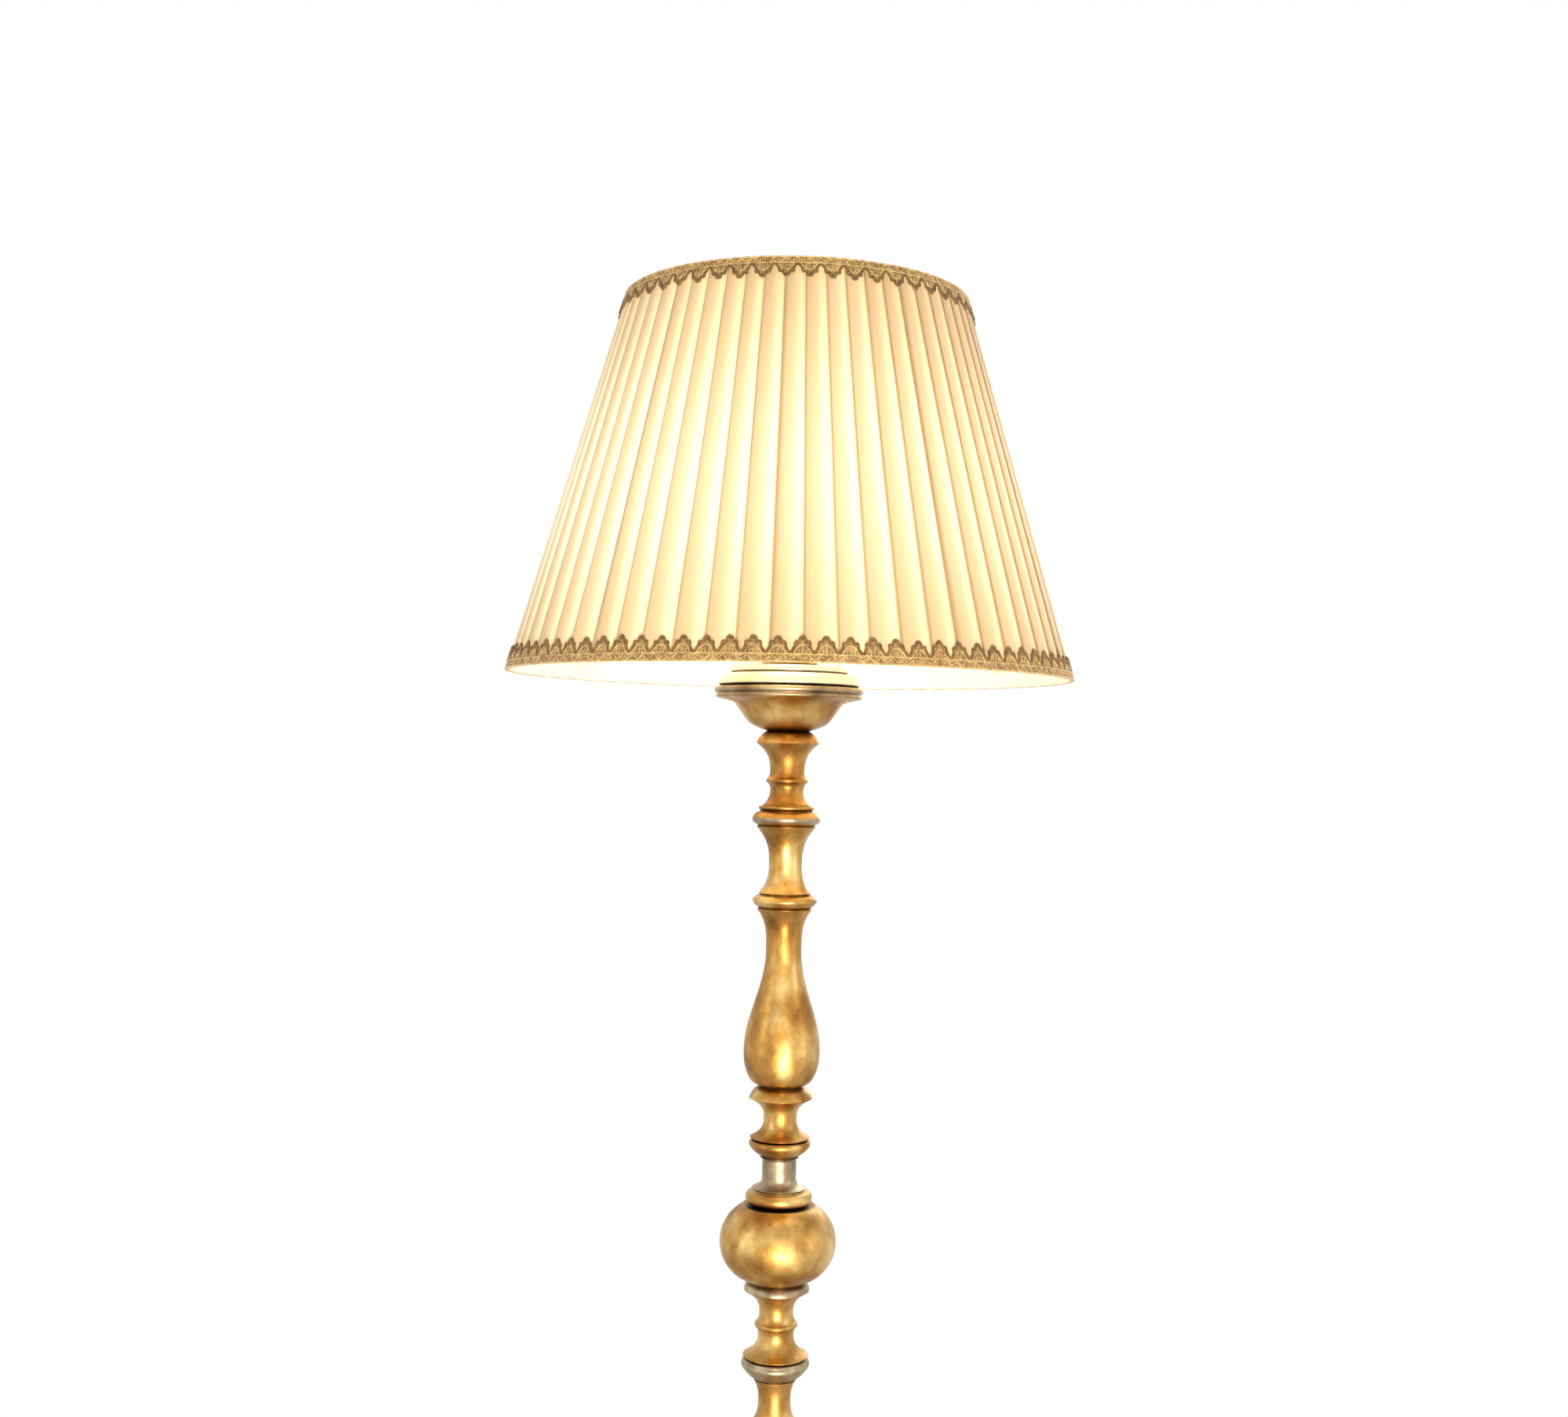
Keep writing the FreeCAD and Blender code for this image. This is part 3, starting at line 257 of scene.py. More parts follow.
def makeRoom():  # a soft grey room lights the lamp, and the camera, gilding and glass see plain white
    world = bpy.data.worlds.new("studio")
    scene.world = world
    world.use_nodes = True
    tree = world.node_tree
    tree.nodes.clear()
    way = addNode(tree, "TexCoord").outputs["Generated"]
    up = addNode(tree, "SeparateXYZ", {"Vector": way}).outputs["Z"]
    level = sums(tree, "MULTIPLY_ADD", up, 0.5, 0.5)
    walls = rampOf(tree, level, greyStops(*roomGreys))
    room = addNode(tree, "Background", {"Color": walls}, Strength=1.0)
    white = addNode(tree, "Background", Color=(1, 1, 1, 1), Strength=1.0)
    path = addNode(tree, "LightPath").outputs
    through = sums(tree, "MAXIMUM", path["Is Camera Ray"], path["Is Transmission Ray"])
    seen = sums(tree, "MAXIMUM", through, path["Is Glossy Ray"])
    both = addNode(tree, "MixShader", {0: seen, 1: room.outputs[0], 2: white.outputs[0]})
    addNode(tree, "OutputWorld", {"Surface": both.outputs[0]})


print("camera, floor and light")
makeCamera()
makeStage()
for lampName, settings in lamps.items():
    makeLight(lampName, *settings)
makeRoom()
scene.view_settings.view_transform = "Standard"
scene.view_settings.look = "None"
scene.view_settings.exposure = 0.0
scene.view_settings.gamma = 1.0


# Leaf-gilded wood: thin metal leaf over red-brown bole, rubbed through in small spots, and darkened in the
# hollows with painted shade. It gives the eye clouded, half-soft metal, painted dark between the turnings.

# each set's last tone is the painted shade laid into the hollows
goldTones = {"deep": "865A28", "mid": "B68A48", "pale": "E2C484", "bole": "7E451C", "hollowShade": "2E1608"}
silverTones = {"deep": "6E5A46", "mid": "9C8A6E", "pale": "CCBE9E", "bole": "7A5232", "hollowShade": "2A1A12"}
# The dish top's near-white leaf is a painted highlight, standing in for the bulb's light on its gilding
dishGlareTones = {"deep": "E6D8BE", "mid": "F2EAD8", "pale": "FAF6EC", "bole": "E0CCA4", "hollowShade": "5A3A1E"}
leaf = {
    "cloudsPerMetre": 38, "cloudStretch": (1, 1, 0.7),   # clouds of tone about 26 mm wide
    "spotsPerMetre": 210,                                # rubbed spots about 5 mm wide
    "wearPerMetre": 55, "roughLow": 0.34, "roughHigh": 0.52,
    "hollow": 7 * mm, "edgeRound": 0.9 * mm,
    "wavesPerMetre": 70, "waveStretch": (1, 1, 1.6), "waveDeep": 0.9 * mm,
    "grainPerMetre": 900, "grainDeep": 0.12 * mm}        # the gesso's own grain, about 1 mm


def leafColour(tree, tones):
    clouds = objectNoise(tree, leaf["cloudsPerMetre"], detail=5, stretch=leaf["cloudStretch"])
    spots = objectNoise(tree, leaf["spotsPerMetre"], detail=5)
    body = rampOf(tree, clouds, [(0.30, linear(tones["deep"])), (0.50, linear(tones["mid"])),
                                 (0.72, linear(tones["pale"]))])
    rubbed = rampOf(tree, spots, greyStops((0.62, 0.0), (0.74, 0.55)))
    return mixColour(tree, rubbed, body, linear(tones["bole"]))


def bandShare(tree, low, high):  # 1 between two heights, 0 elsewhere
    where = addNode(tree, "TexCoord").outputs["Object"]
    z = addNode(tree, "SeparateXYZ", {"Vector": where}).outputs["Z"]
    return sums(tree, "MULTIPLY", sums(tree, "GREATER_THAN", z, low), sums(tree, "LESS_THAN", z, high))


def leafMaterial(name, tones, band=None, bandTones=None):
    material, tree, shader = newMaterial(name, Metallic=1.0)
    colour = leafColour(tree, tones)
    if band:
        colour = mixColour(tree, bandShare(tree, *band), colour, leafColour(tree, bandTones))
    # painted shade: the leaf's colour is darkened where the occlusion node finds hollows
    hollow = addNode(tree, "AmbientOcclusion", samples=6, Distance=leaf["hollow"]).outputs["AO"]
    paintedShade = rampOf(tree, hollow, greyStops((0.25, 0.9), (0.75, 0.0)))
    colour = mixColour(tree, paintedShade, colour, linear(tones["hollowShade"]))
    tree.links.new(colour, shader.inputs["Base Color"])
    worn = objectNoise(tree, leaf["wearPerMetre"], detail=6)
    rough = rampOf(tree, worn, greyStops((0.3, leaf["roughLow"]), (0.75, leaf["roughHigh"])))
    tree.links.new(rough, shader.inputs["Roughness"])
    softEdge = addNode(tree, "Bevel", samples=4, Radius=leaf["edgeRound"]).outputs["Normal"]
    waves = objectNoise(tree, leaf["wavesPerMetre"], detail=3, stretch=leaf["waveStretch"])
    wavy = bumpOf(tree, shader, waves, 0.35, leaf["waveDeep"], softEdge)
    bumpOf(tree, shader, objectNoise(tree, leaf["grainPerMetre"], detail=4), 0.25, leaf["grainDeep"], wavy)
    return material


silverBands = {  # material, and how far below the piece's top its silver band starts and ends, in mm
    "drip_dish": ("leafDish", -1.0, 9.3),
    "spool_4": ("leafFlange", -1.0, 7.2),
    "collar_7": ("leafCollar", 5.5, 9.5)}


def gild():
    finishes = {"gold_leaf": leafMaterial("leafGold", goldTones),
                "silver_leaf": leafMaterial("leafSilver", silverTones)}
    for part in frame["record"]["subparts"]:
        if part["material_slot"] in finishes:
            dress(finishes[part["material_slot"]], part["node"])
    # painted highlight: the dish top's leaf is near white
    dress(leafMaterial("leafDishTop", dishGlareTones), "dish_top")
    for node, (name, start, end) in silverBands.items():
        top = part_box(node)[1].z
        dress(leafMaterial(name, goldTones, (top - end * mm, top - start * mm), silverTones), node)


print("gilding")
gild()


# Metals, plastics and glass

def plainMaterial(name, dark, light, perMetre, rough, deep, stretch=(1, 1, 1), **values):
    material, tree, shader = newMaterial(name, **values)
    grain = objectNoise(tree, perMetre, detail=5, stretch=stretch)
    tone = rampOf(tree, grain, [(0.3, linear(dark)), (0.7, linear(light))])
    tree.links.new(tone, shader.inputs["Base Color"])
    shine = rampOf(tree, grain, greyStops((0.3, rough[0]), (0.7, rough[1])))
    tree.links.new(shine, shader.inputs["Roughness"])
    bumpOf(tree, shader, grain, 0.4, deep * mm)
    return material


print("metals, plastics and glass")

# Sand-cast iron, painted black: dull and pitted
castIron = plainMaterial("castIron", "1C1D20", "34353A", 420, (0.55, 0.8), 0.4, Metallic=0.6)
dress(castIron, "base_weight")

# Zinc-plated steel, drawn and turned: bright grey with lines along the tube
zincSteel = plainMaterial("zincSteel", "8E8E8A", "B9B9B4", 300, (0.22, 0.42), 0.05, (1, 1, 0.1), Metallic=1.0)
dress(zincSteel, "stem_tube", "stem_nut", "stem_washer", "weight_screws")

# Drawn brass: a smooth yellow shine
drawnBrass = plainMaterial("drawnBrass", "A87C33", "D2A759", 260, (0.2, 0.4), 0.04, Metallic=1.0)
dress(drawnBrass, "holder_shell", "holder_contact")

# Moulded polyamide, black and white: a fine satin
blackPlastic = plainMaterial("blackPlastic", "141414", "1F1F20", 700, (0.42, 0.6), 0.05)
dress(blackPlastic, "cord_bush")
whitePlastic = plainMaterial("whitePlastic", "DEDCD2", "E9E7DF", 500, (0.4, 0.55), 0.04)
dress(whitePlastic, "terminal_block", "inner_lead")

# Moulded thermoset resin: ivory, a little glossy
holderResin = plainMaterial("holderResin", "D8D2C0", "E6E1D2", 400, (0.3, 0.45), 0.04)
dress(holderResin, "holder_cap", "holder_skirt", "shade_ring_nut")

# Glazed porcelain: white under a clear gloss
porcelain = plainMaterial("porcelain", "EAE8E0", "F5F4EF", 250, (0.08, 0.2), 0.05, Coat_Weight=0.6)
dress(porcelain, "holder_insert")

# Steel wire, dipped in white enamel: smooth, with thick soft edges
enamelledWire = plainMaterial("enamelledWire", "EEE9DC", "F8F5EC", 350, (0.3, 0.45), 0.06)
dress(enamelledWire, "fitter_ring", "shade_arms", "foot_wire_ring", "top_wire_ring", "frame_ribs")

# The bulb's pressed aluminium cap, its black glass seat and its glowing tungsten coil
capAluminium = plainMaterial("capAluminium", "B4B4B0", "D6D6D2", 300, (0.2, 0.35), 0.04, Metallic=1.0)
dress(capAluminium, "bulb_cap")
capGlass = plainMaterial("capGlass", "0A0A0C", "141417", 200, (0.1, 0.25), 0.03)
dress(capGlass, "bulb_contact")
filament = plainMaterial("filament", "FFD98A", "FFE9B8", 200, (0.4, 0.5), 0.02,
                         Emission_Color=linear("FFC870"), Emission_Strength=30.0)
dress(filament, "bulb_filament")

bulb = {"strength": 30.0, "colour": "FFE6BE", "paleColour": "FFEBCB", "cloudsPerMetre": 60}


def bulbGlassMaterial():  # blown glass, frosted inside: an even warm glow
    material, tree, shader = newMaterial("frostedGlass", Base_Color=linear("FFF8EA"), Roughness=0.35,
                                         Emission_Strength=bulb["strength"])
    frost = objectNoise(tree, bulb["cloudsPerMetre"], detail=2)
    glow = rampOf(tree, frost, [(0.2, linear(bulb["colour"])), (0.8, linear(bulb["paleColour"]))])
    tree.links.new(glow, shader.inputs["Emission Color"])
    return material


dress(bulbGlassMaterial(), "bulb_glass")


# The felt under the base

felt = {"sides": 180, "rings": 14, "edgeRound": 0.8 * mm, "uneven": 0.25 * mm,
        "dark": "1E2A20", "light": "35463A", "fuzzPerMetre": 1400, "fuzzDeep": 0.5 * mm}


def feltMaterial():  # pressed green wool: matt, with a soft fuzz of fibres under 1 mm long
    material, tree, shader = newMaterial("baizeFelt", Roughness=0.95, Sheen_Weight=0.5, Sheen_Roughness=0.6)
    fuzz = objectNoise(tree, felt["fuzzPerMetre"], detail=6, roughness=0.7)
    tree.links.new(rampOf(tree, fuzz, [(0.3, linear(felt["dark"])), (0.7, linear(felt["light"]))]),
                   shader.inputs["Base Color"])
    bumpOf(tree, shader, fuzz, 0.8, felt["fuzzDeep"])
    return material


def feltOutline(radius, low, high):
    edge, rings = felt["edgeRound"], felt["rings"]
    under = [(radius * i / rings, low) for i in range(1, rings)]
    over = [(radius * i / rings, high) for i in range(rings - 1, 0, -1)]
    side = [(radius - edge, low), (radius, low + edge), (radius, high - edge), (radius - edge, high)]
    return under + side + over


def makeFelt():
    low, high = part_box("felt_disc")
    radius = high.x
    bm = lathe(feltOutline(radius, low.z, high.z), felt["sides"])
    for vert in bm.verts:  # hand-cut: the edge wanders a little
        r = math.hypot(vert.co.x, vert.co.y)
        way = vert.co.xy / r
        wander = felt["uneven"] * noise.noise(Vector((way.x * 9, way.y * 9, r * 40)))
        edge = r + (wander if r > radius - 2 * felt["edgeRound"] else 0.0) - felt["uneven"]
        vert.co.xy = way * edge
    piece = addPiece("feltDisc", bm, feltMaterial(), "root")
    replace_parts(piece, "felt_disc")


# The drip dish, turned with a deeper, straighter bowl than the frame's own

dish = {  # mm, from the dish's foot
    "sides": 160, "tall": 35.4, "edgeR": 56.0,
    "bowl": [(17.6, 0.0), (19.0, 0.4), (24.4, 2.3), (29.0, 4.3), (32.2, 6.8), (35.2, 10.6), (38.2, 14.8),
             (41.0, 18.9), (43.2, 21.6), (47.5, 23.4), (52.5, 24.4), (56.0, 25.2)],
    "lip": [(55.0, 34.4), (30.0, 34.4)]}
thinRing = {"middle": 27.0, "out": 2.4, "half": 1.8, "angles": (0.4, 1.0, 1.57, 2.1, 2.8)}
silverRim = {"middle": 31.6, "out": 3.4, "half": 2.7, "angles": (0.4, 0.8, 1.2, 1.57, 1.9, 2.3, 2.8)}


def beadArc(bead):
    return [(dish["edgeR"] + bead["out"] * math.sin(a), bead["middle"] - bead["half"] * math.cos(a))
            for a in bead["angles"]]


def makeDish():
    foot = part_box("drip_dish")[1].z - dish["tall"] * mm
    outline = dish["bowl"] + beadArc(thinRing) + beadArc(silverRim) + dish["lip"]
    bm = lathe([(r * mm, foot + z * mm) for r, z in outline], dish["sides"])
    dishLeaf = nodes["drip_dish"].material_slots[0].material
    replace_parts(addPiece("dripDish", bm, dishLeaf, "root"), "drip_dish")


print("felt and drip dish")
makeFelt()
makeDish()


# The shade: a cone that carries the cloth and the braids

coverLow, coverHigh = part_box("pleated_cover")
shade = {"footR": 223.6 * mm, "topR": 136.6 * mm, "low": coverLow.z, "high": coverHigh.z}
shade["tall"] = shade["high"] - shade["low"]
shade["slope"] = (shade["topR"] - shade["footR"]) / shade["tall"]
shade["slant"] = math.hypot(1, shade["slope"])


def shadeR(z, out=0.0):
    return shade["footR"] + shade["slope"] * (z - shade["low"]) + out * shade["slant"]


def onShade(angle, z, out=0.0):
    r = shadeR(z, out)
    return Vector((r * math.cos(angle), r * math.sin(angle), z))


# The cover: one cloth in knife pleats, each lapped over the next

pleat = {
    "count": 60, "first": -93.5, "rows": 40, "fullness": 2.4, "seed": 11,
    "ribEvery": 6, "ribShadow": 0.72,                                # a wire rib's painted shadow darkens every sixth fold
    "top": -0.2 * mm, "middle": -0.85 * mm, "bottom": -1.5 * mm,     # the three layers, out from the cone
    "overlap": 0.70, "slopeEnd": 0.96,                               # shares of a pleat's width
    "puff": 0.3 * mm, "wander": 0.5 * mm, "wanderPerMetre": 9, "uneven": 0.05, "toneSpread": 0.035}
glow = {"far": 0.40, "near": 0.68, "reach": 130 * mm}                # the bulb's light painted on the cloth, brightest at its height
chiffon = {
    "streaks": (700, 9, 1), "streakDeep": 0.5 * mm,    # slubs about 1.5 mm apart, run up the cloth
    "weaveScale": 420, "weaveDeep": 0.06 * mm,         # threads 0.75 mm apart, twice the real, to show
    "glowStrength": 0.83,
    "glowTones": [(0.05, "4E3A1E"), (0.22, "80643E"), (0.40, "B0905E"), (0.58, "C8A876"), (0.78, "D6C494"),
                  (1.0, "E0D8B8")],
    "paintedLightClothTones": [(0.1, "B89868"), (0.6, "D8C29C"), (1.0, "E2D6B8")]}
bulbLow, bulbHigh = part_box("bulb_glass")
bulbZ = bulbHigh.z - (bulbHigh.x - bulbLow.x) / 2


def pleatColumns():  # share of the pitch, height out from the cone, and how much painted light comes through, dim in painted fold shadows
    top, middle, bottom = pleat["top"], pleat["middle"], pleat["bottom"]
    over, end = pleat["overlap"], pleat["slopeEnd"]
    face = [(0.0, top, 0.16), (0.03, top, 0.34), (0.08, top, 0.44), (0.18, top, 0.50), (0.30, top, 0.54),
            (0.42, top, 0.60), (0.54, top, 0.70), (0.63, top, 0.82), (over, top, 0.92)]
    slope = [(over + 0.08, top + (bottom - top) * 0.35, 1.0), (over + 0.15, top + (bottom - top) * 0.7, 1.0),
             (over + 0.21, bottom, 0.93), (end, bottom, 0.62), (0.99, bottom, 0.30)]
    under = [(1.06, bottom, 0.2), (1.35, bottom, 0.4), (1 + over - 0.03, bottom, 0.4)]
    back = [(1 + over, (middle + bottom) / 2, 0.4), (1 + over - 0.03, middle, 0.4),
            (1.35, middle, 0.4), (1.03, middle, 0.3), (0.995, (middle + top) / 2, 0.10)]
    return face + slope + under + back


def heightGlow(z):
    away = (z - bulbZ) / glow["reach"]
    return glow["far"] + glow["near"] * math.exp(-away * away)


def foldGlow(i, share, lit):
    onRib = i % pleat["ribEvery"] == 0 and share < 0.1
    besideRib = i % pleat["ribEvery"] == pleat["ribEvery"] - 1 and share > 0.93
    return lit * pleat["ribShadow"] if onRib or besideRib else lit


def toned(stops):
    return [(place, linear(text)) for place, text in stops]


def coverMaterial():  # woven silk chiffon: matt cream; the light through it is painted as emission, darker where it lies double
    material, tree, shader = newMaterial(
        "pleatedChiffon", Roughness=0.85, Sheen_Weight=0.25, Sheen_Roughness=0.5,
        Emission_Strength=chiffon["glowStrength"])
    through = addNode(tree, "Attribute", attribute_name="glow").outputs["Fac"]
    cloth = addNode(tree, "UVMap", uv_map="cloth").outputs["UV"]
    place = addNode(tree, "Mapping", {"Vector": cloth}, Scale=chiffon["streaks"])
    streak = addNode(tree, "TexNoise", {"Vector": place.outputs["Vector"]}, Scale=1.0, Detail=3.0)
    silk = sums(tree, "MULTIPLY_ADD", streak.outputs["Fac"], 0.16, 0.92)
    light = sums(tree, "MULTIPLY", through, silk)
    tree.links.new(rampOf(tree, light, toned(chiffon["glowTones"])), shader.inputs["Emission Color"])
    # the base colour follows the same painted light, lighter near the bulb's height
    tree.links.new(rampOf(tree, light, toned(chiffon["paintedLightClothTones"])), shader.inputs["Base Color"])
    warp, weft = [addNode(tree, "TexWave", {"Vector": cloth}, wave_type="BANDS", bands_direction=way,
                          Scale=chiffon["weaveScale"]).outputs["Fac"] for way in "XY"]
    ripple = bumpOf(tree, shader, streak.outputs["Fac"], 0.35, chiffon["streakDeep"])
    bumpOf(tree, shader, sums(tree, "ADD", warp, weft), 0.15, chiffon["weaveDeep"], ripple)
    return material


def paintCloth(bm, rows, places):  # the cloth's own flat map, in metres along and up it
    uv = bm.loops.layers.uv.new("cloth")
    width = len(rows[0])
    where = {vert: (i, j) for i, row in enumerate(rows) for j, vert in enumerate(row)}
    for face in bm.faces:
        columns = [where[loop.vert][1] for loop in face.loops]
        wraps = max(columns) - min(columns) > width / 2
        for loop, column in zip(face.loops, columns):
            row = where[loop.vert][0]
            loop[uv].uv = places(row, column + width if wraps and column < width / 2 else column)


def clothLengths(row):  # along one row of the cloth, gone round twice for the seam
    lengths = [0.0]
    for a, b in zip(row, row[1:] + row[:1]):
        lengths.append(lengths[-1] + (b.co - a.co).length)
    return lengths + [lengths[-1] + x for x in lengths[1:]]


def makeCover():
    rng = random.Random(pleat["seed"])
    count = pleat["count"]
    pitch = fullTurn / count
    first = math.radians(pleat["first"])
    starts = [first + (i + pleat["uneven"] * rng.uniform(-1, 1)) * pitch for i in range(count)]
    starts.append(starts[0] + fullTurn)
    tones = [rng.uniform(-pleat["toneSpread"], pleat["toneSpread"]) for i in range(count)]
    columns = pleatColumns()
    bm = bmesh.new()
    glowLayer = bm.verts.layers.float.new("glow")
    rows = []
    for level in range(pleat["rows"] + 1):
        z = shade["low"] + shade["tall"] * level / pleat["rows"]
        row = []
        for i in range(count):
            for share, out, lit in columns:
                angle = starts[i] + (starts[i + 1] - starts[i]) * share
                if share > 1:
                    angle = starts[i + 1] + (share - 1) * pitch
                drift = noise.noise(Vector((i * 3.7 + round(share), z * pleat["wanderPerMetre"], 4)))
                angle += drift * pleat["wander"] * smooth(0.0, 0.4, share) / shadeR(z)
                puff = 0.0
                if out == pleat["top"]:
                    puff = pleat["puff"] * math.sin(math.pi * min(1.0, share / pleat["overlap"]))
                vert = bm.verts.new(onShade(angle, z, out + puff - pleat["puff"] / 2))
                edge = foldGlow(i, share, lit)
                vert[glowLayer] = edge * heightGlow(z) + tones[i] * smooth(0.1, 0.4, edge)
                row.append(vert)
        rows.append(row)
    joinRows(bm, rows)
    lengths = clothLengths(rows[len(rows) // 2])
    rowTall = shade["tall"] * shade["slant"] / pleat["rows"]
    paintCloth(bm, rows, lambda row, column: (lengths[column], row * rowTall))
    piece = addPiece("pleatedCover", bm, coverMaterial(), "shade")
    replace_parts(piece, "pleated_cover")
    return piece


print("pleated cover")
cover = makeCover()


# The lining, smooth and stretched between the wires, turned under the foot wire and rolled at the top

lining = {
    "sides": 200, "rows": 24, "ribs": 10, "inset": 0.2 * mm, "sag": 0.5 * mm,
    "hem": 0.5 * mm, "turnUnder": 4.4 * mm, "drop": 0.6 * mm, "roll": 0.3 * mm, "swell": 0.1 * mm,
    "dark": "F0E4C6", "light": "FBF3DE", "glow": "FFF3D2", "slubsPerMetre": 500, "slubStretch": (1, 1, 0.08)}


def liningMaterial():  # woven cream cotton, pulled tight: matt, with slubs 2 mm apart that run up it, and a faint painted glow of the bulb's light
    material, tree, shader = newMaterial("creamLining", Roughness=0.8, Sheen_Weight=0.2,
                                         Emission_Color=linear(lining["glow"]), Emission_Strength=0.18)
    slub = objectNoise(tree, lining["slubsPerMetre"], detail=4, stretch=lining["slubStretch"])
    tree.links.new(rampOf(tree, slub, [(0.3, linear(lining["dark"])), (0.7, linear(lining["light"]))]),
                   shader.inputs["Base Color"])
    bumpOf(tree, shader, slub, 0.3, 0.1 * mm)
    return material


def liningLevels(low, high):  # height and step out from the cone, from the turned foot to the rolled top
    hem, turnUnder = lining["hem"], lining["turnUnder"]
    under = low - lining["drop"]
    foot = [(under, turnUnder), (under, turnUnder / 2), (under, lining["roll"]), (low, -lining["swell"])]
    wall = [(low + hem + (high - low - 2 * hem) * i / lining["rows"], 0.0) for i in range(lining["rows"] + 1)]
    head = [(high - hem + hem * math.sin(a), -hem * (1 - math.cos(a)))
            for a in (math.pi * 0.25, math.pi * 0.5, math.pi * 0.75, math.pi)]
    return foot + wall + head


def makeLining():
    low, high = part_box("inner_lining")
    out = (high.x - shadeR(low.z)) / shade["slant"] - lining["inset"]
    sides = lining["sides"]
    bm = bmesh.new()
    rows = []
    for z, step in liningLevels(low.z, high.z):
        row = []
        along = (z - low.z) / (high.z - low.z)
        for i in range(sides):
            angle = math.radians(pleat["first"]) + fullTurn * i / sides
            between = math.sin(math.pi * (i * lining["ribs"] / sides % 1))
            sag = lining["sag"] * between * math.sin(math.pi * min(1, max(0, along)))
            row.append(bm.verts.new(onShade(angle, z, out + step - sag)))
        rows.append(row)
    joinRows(bm, rows)
    piece = addPiece("innerLining", bm, liningMaterial(), "shade")
    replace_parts(piece, "inner_lining")


print("lining")
makeLining()


# The braids: a woven web, fine cords along it, and a thicker cord round the scallops

def threadMaterial(name, dark, light, shine):  # metal thread wound on cotton: dull gold with bright glints, and a faint painted glow of light through it
    material, tree, shader = newMaterial(name, Metallic=shine, Sheen_Weight=0.2, Emission_Strength=0.14)
    cloth = addNode(tree, "UVMap", uv_map="cloth").outputs["UV"]
    twist = addNode(tree, "TexWave", {"Vector": cloth}, wave_type="BANDS", bands_direction="DIAGONAL",
                    Scale=330.0).outputs["Fac"]  # turns of thread 1 mm apart, coarser than real ones, to show
    patch = objectNoise(tree, 260, detail=3)     # worn patches about 4 mm wide
    mixed = sums(tree, "MULTIPLY_ADD", twist, 0.3, sums(tree, "MULTIPLY", patch, 0.7))
    thread = rampOf(tree, mixed, [(0.34, linear(dark)), (0.62, linear(light))])
    tree.links.new(thread, shader.inputs["Base Color"])
    # painted glow: the thread's own colour is also given as emission
    tree.links.new(thread, shader.inputs["Emission Color"])
    tree.links.new(rampOf(tree, patch, greyStops((0.3, 0.38), (0.7, 0.6))), shader.inputs["Roughness"])
    bumpOf(tree, shader, twist, 0.6, 0.15 * mm)
    return material


edgeThread = threadMaterial("dullCord", "4A3010", "94702E", 0.3)
cordThread = threadMaterial("goldCord", "946C2E", "F0D090", 0.4)
webThread = threadMaterial("goldWeb", "5E4218", "C8A468", 0.2)

# One scallop in mm, from its left side to its middle: the rest is mirrored
unit = {
    "pitch": 16.6, "tall": 18.8,
    "outer": [(-8.3, 7.0), (-7.3, 7.6), (-6.5, 8.7), (-5.9, 10.0), (-5.3, 11.3), (-5.3, 12.6), (-5.3, 13.7),
              (-4.5, 14.5), (-3.5, 14.4), (-2.9, 13.7), (-2.3, 14.4), (-2.1, 15.6), (-1.9, 16.8),
              (-1.1, 17.7), (0.0, 18.1)],
    "inner": [(-8.3, 4.4), (-6.6, 5.4), (-5.2, 7.4), (-4.1, 9.4), (-2.9, 11.0), (-1.5, 12.0), (0.0, 12.4)],
    "lace": [(-8.3, 1.6), (-6.4, 3.0), (-4.2, 5.6), (-2.2, 3.2), (0.0, 1.4)],
    "web": [(-8.3, 6.8), (-6.9, 7.8), (-5.7, 10.0), (-5.0, 12.6), (-3.8, 14.0), (-2.4, 13.5),
            (-1.5, 15.0), (0.0, 15.2)]}
cordSizes = {"outer": (0.9, 0.75), "inner": (0.5, 0.70), "lace": (0.45, 0.75)}  # radius, and how far out
rails = ((0.75, 0.7, 0.7), (5.9, 0.5, 0.95))                                    # height, radius, how far out
eye = {"points": 8, "high": 16.2, "halfWide": 0.55, "halfTall": 0.7, "radius": 0.5, "out": 0.6}
stitches = ((-5.4, 1.2, 5.6), (-2.7, 6.3, 10.6), (0.0, 6.4, 12.2), (2.7, 6.3, 10.6), (5.4, 1.2, 5.6))
stitch = {"radius": 0.36, "lean": 0.4, "out": 0.55, "arch": 0.35}
web = {"foot": 0.4, "out": 0.28, "ripple": 0.12}
hand = {"lean": 0.35, "shift": 0.35, "shortest": 0.92, "tallest": 1.06}         # how much one scallop varies

runs = {
    "footBraid": {"edge": shade["low"], "way": 1, "scallops": 84, "tall": 18.6 * mm, "seed": 9,
                  "node": "foot_braid"},
    "topBraid": {"edge": shade["high"], "way": -1, "scallops": 52, "tall": 16.8 * mm, "seed": 8,
                 "node": "top_braid"}}


def wholeUnit(half):
    return half + [(-x, h) for x, h in half[-2:0:-1]]


def handVaried(run):
    rng = random.Random(run["seed"])
    return [(rng.uniform(-hand["lean"], hand["lean"]), rng.uniform(-hand["shift"], hand["shift"]),
             rng.uniform(hand["shortest"], hand["tallest"])) for i in range(run["scallops"])]


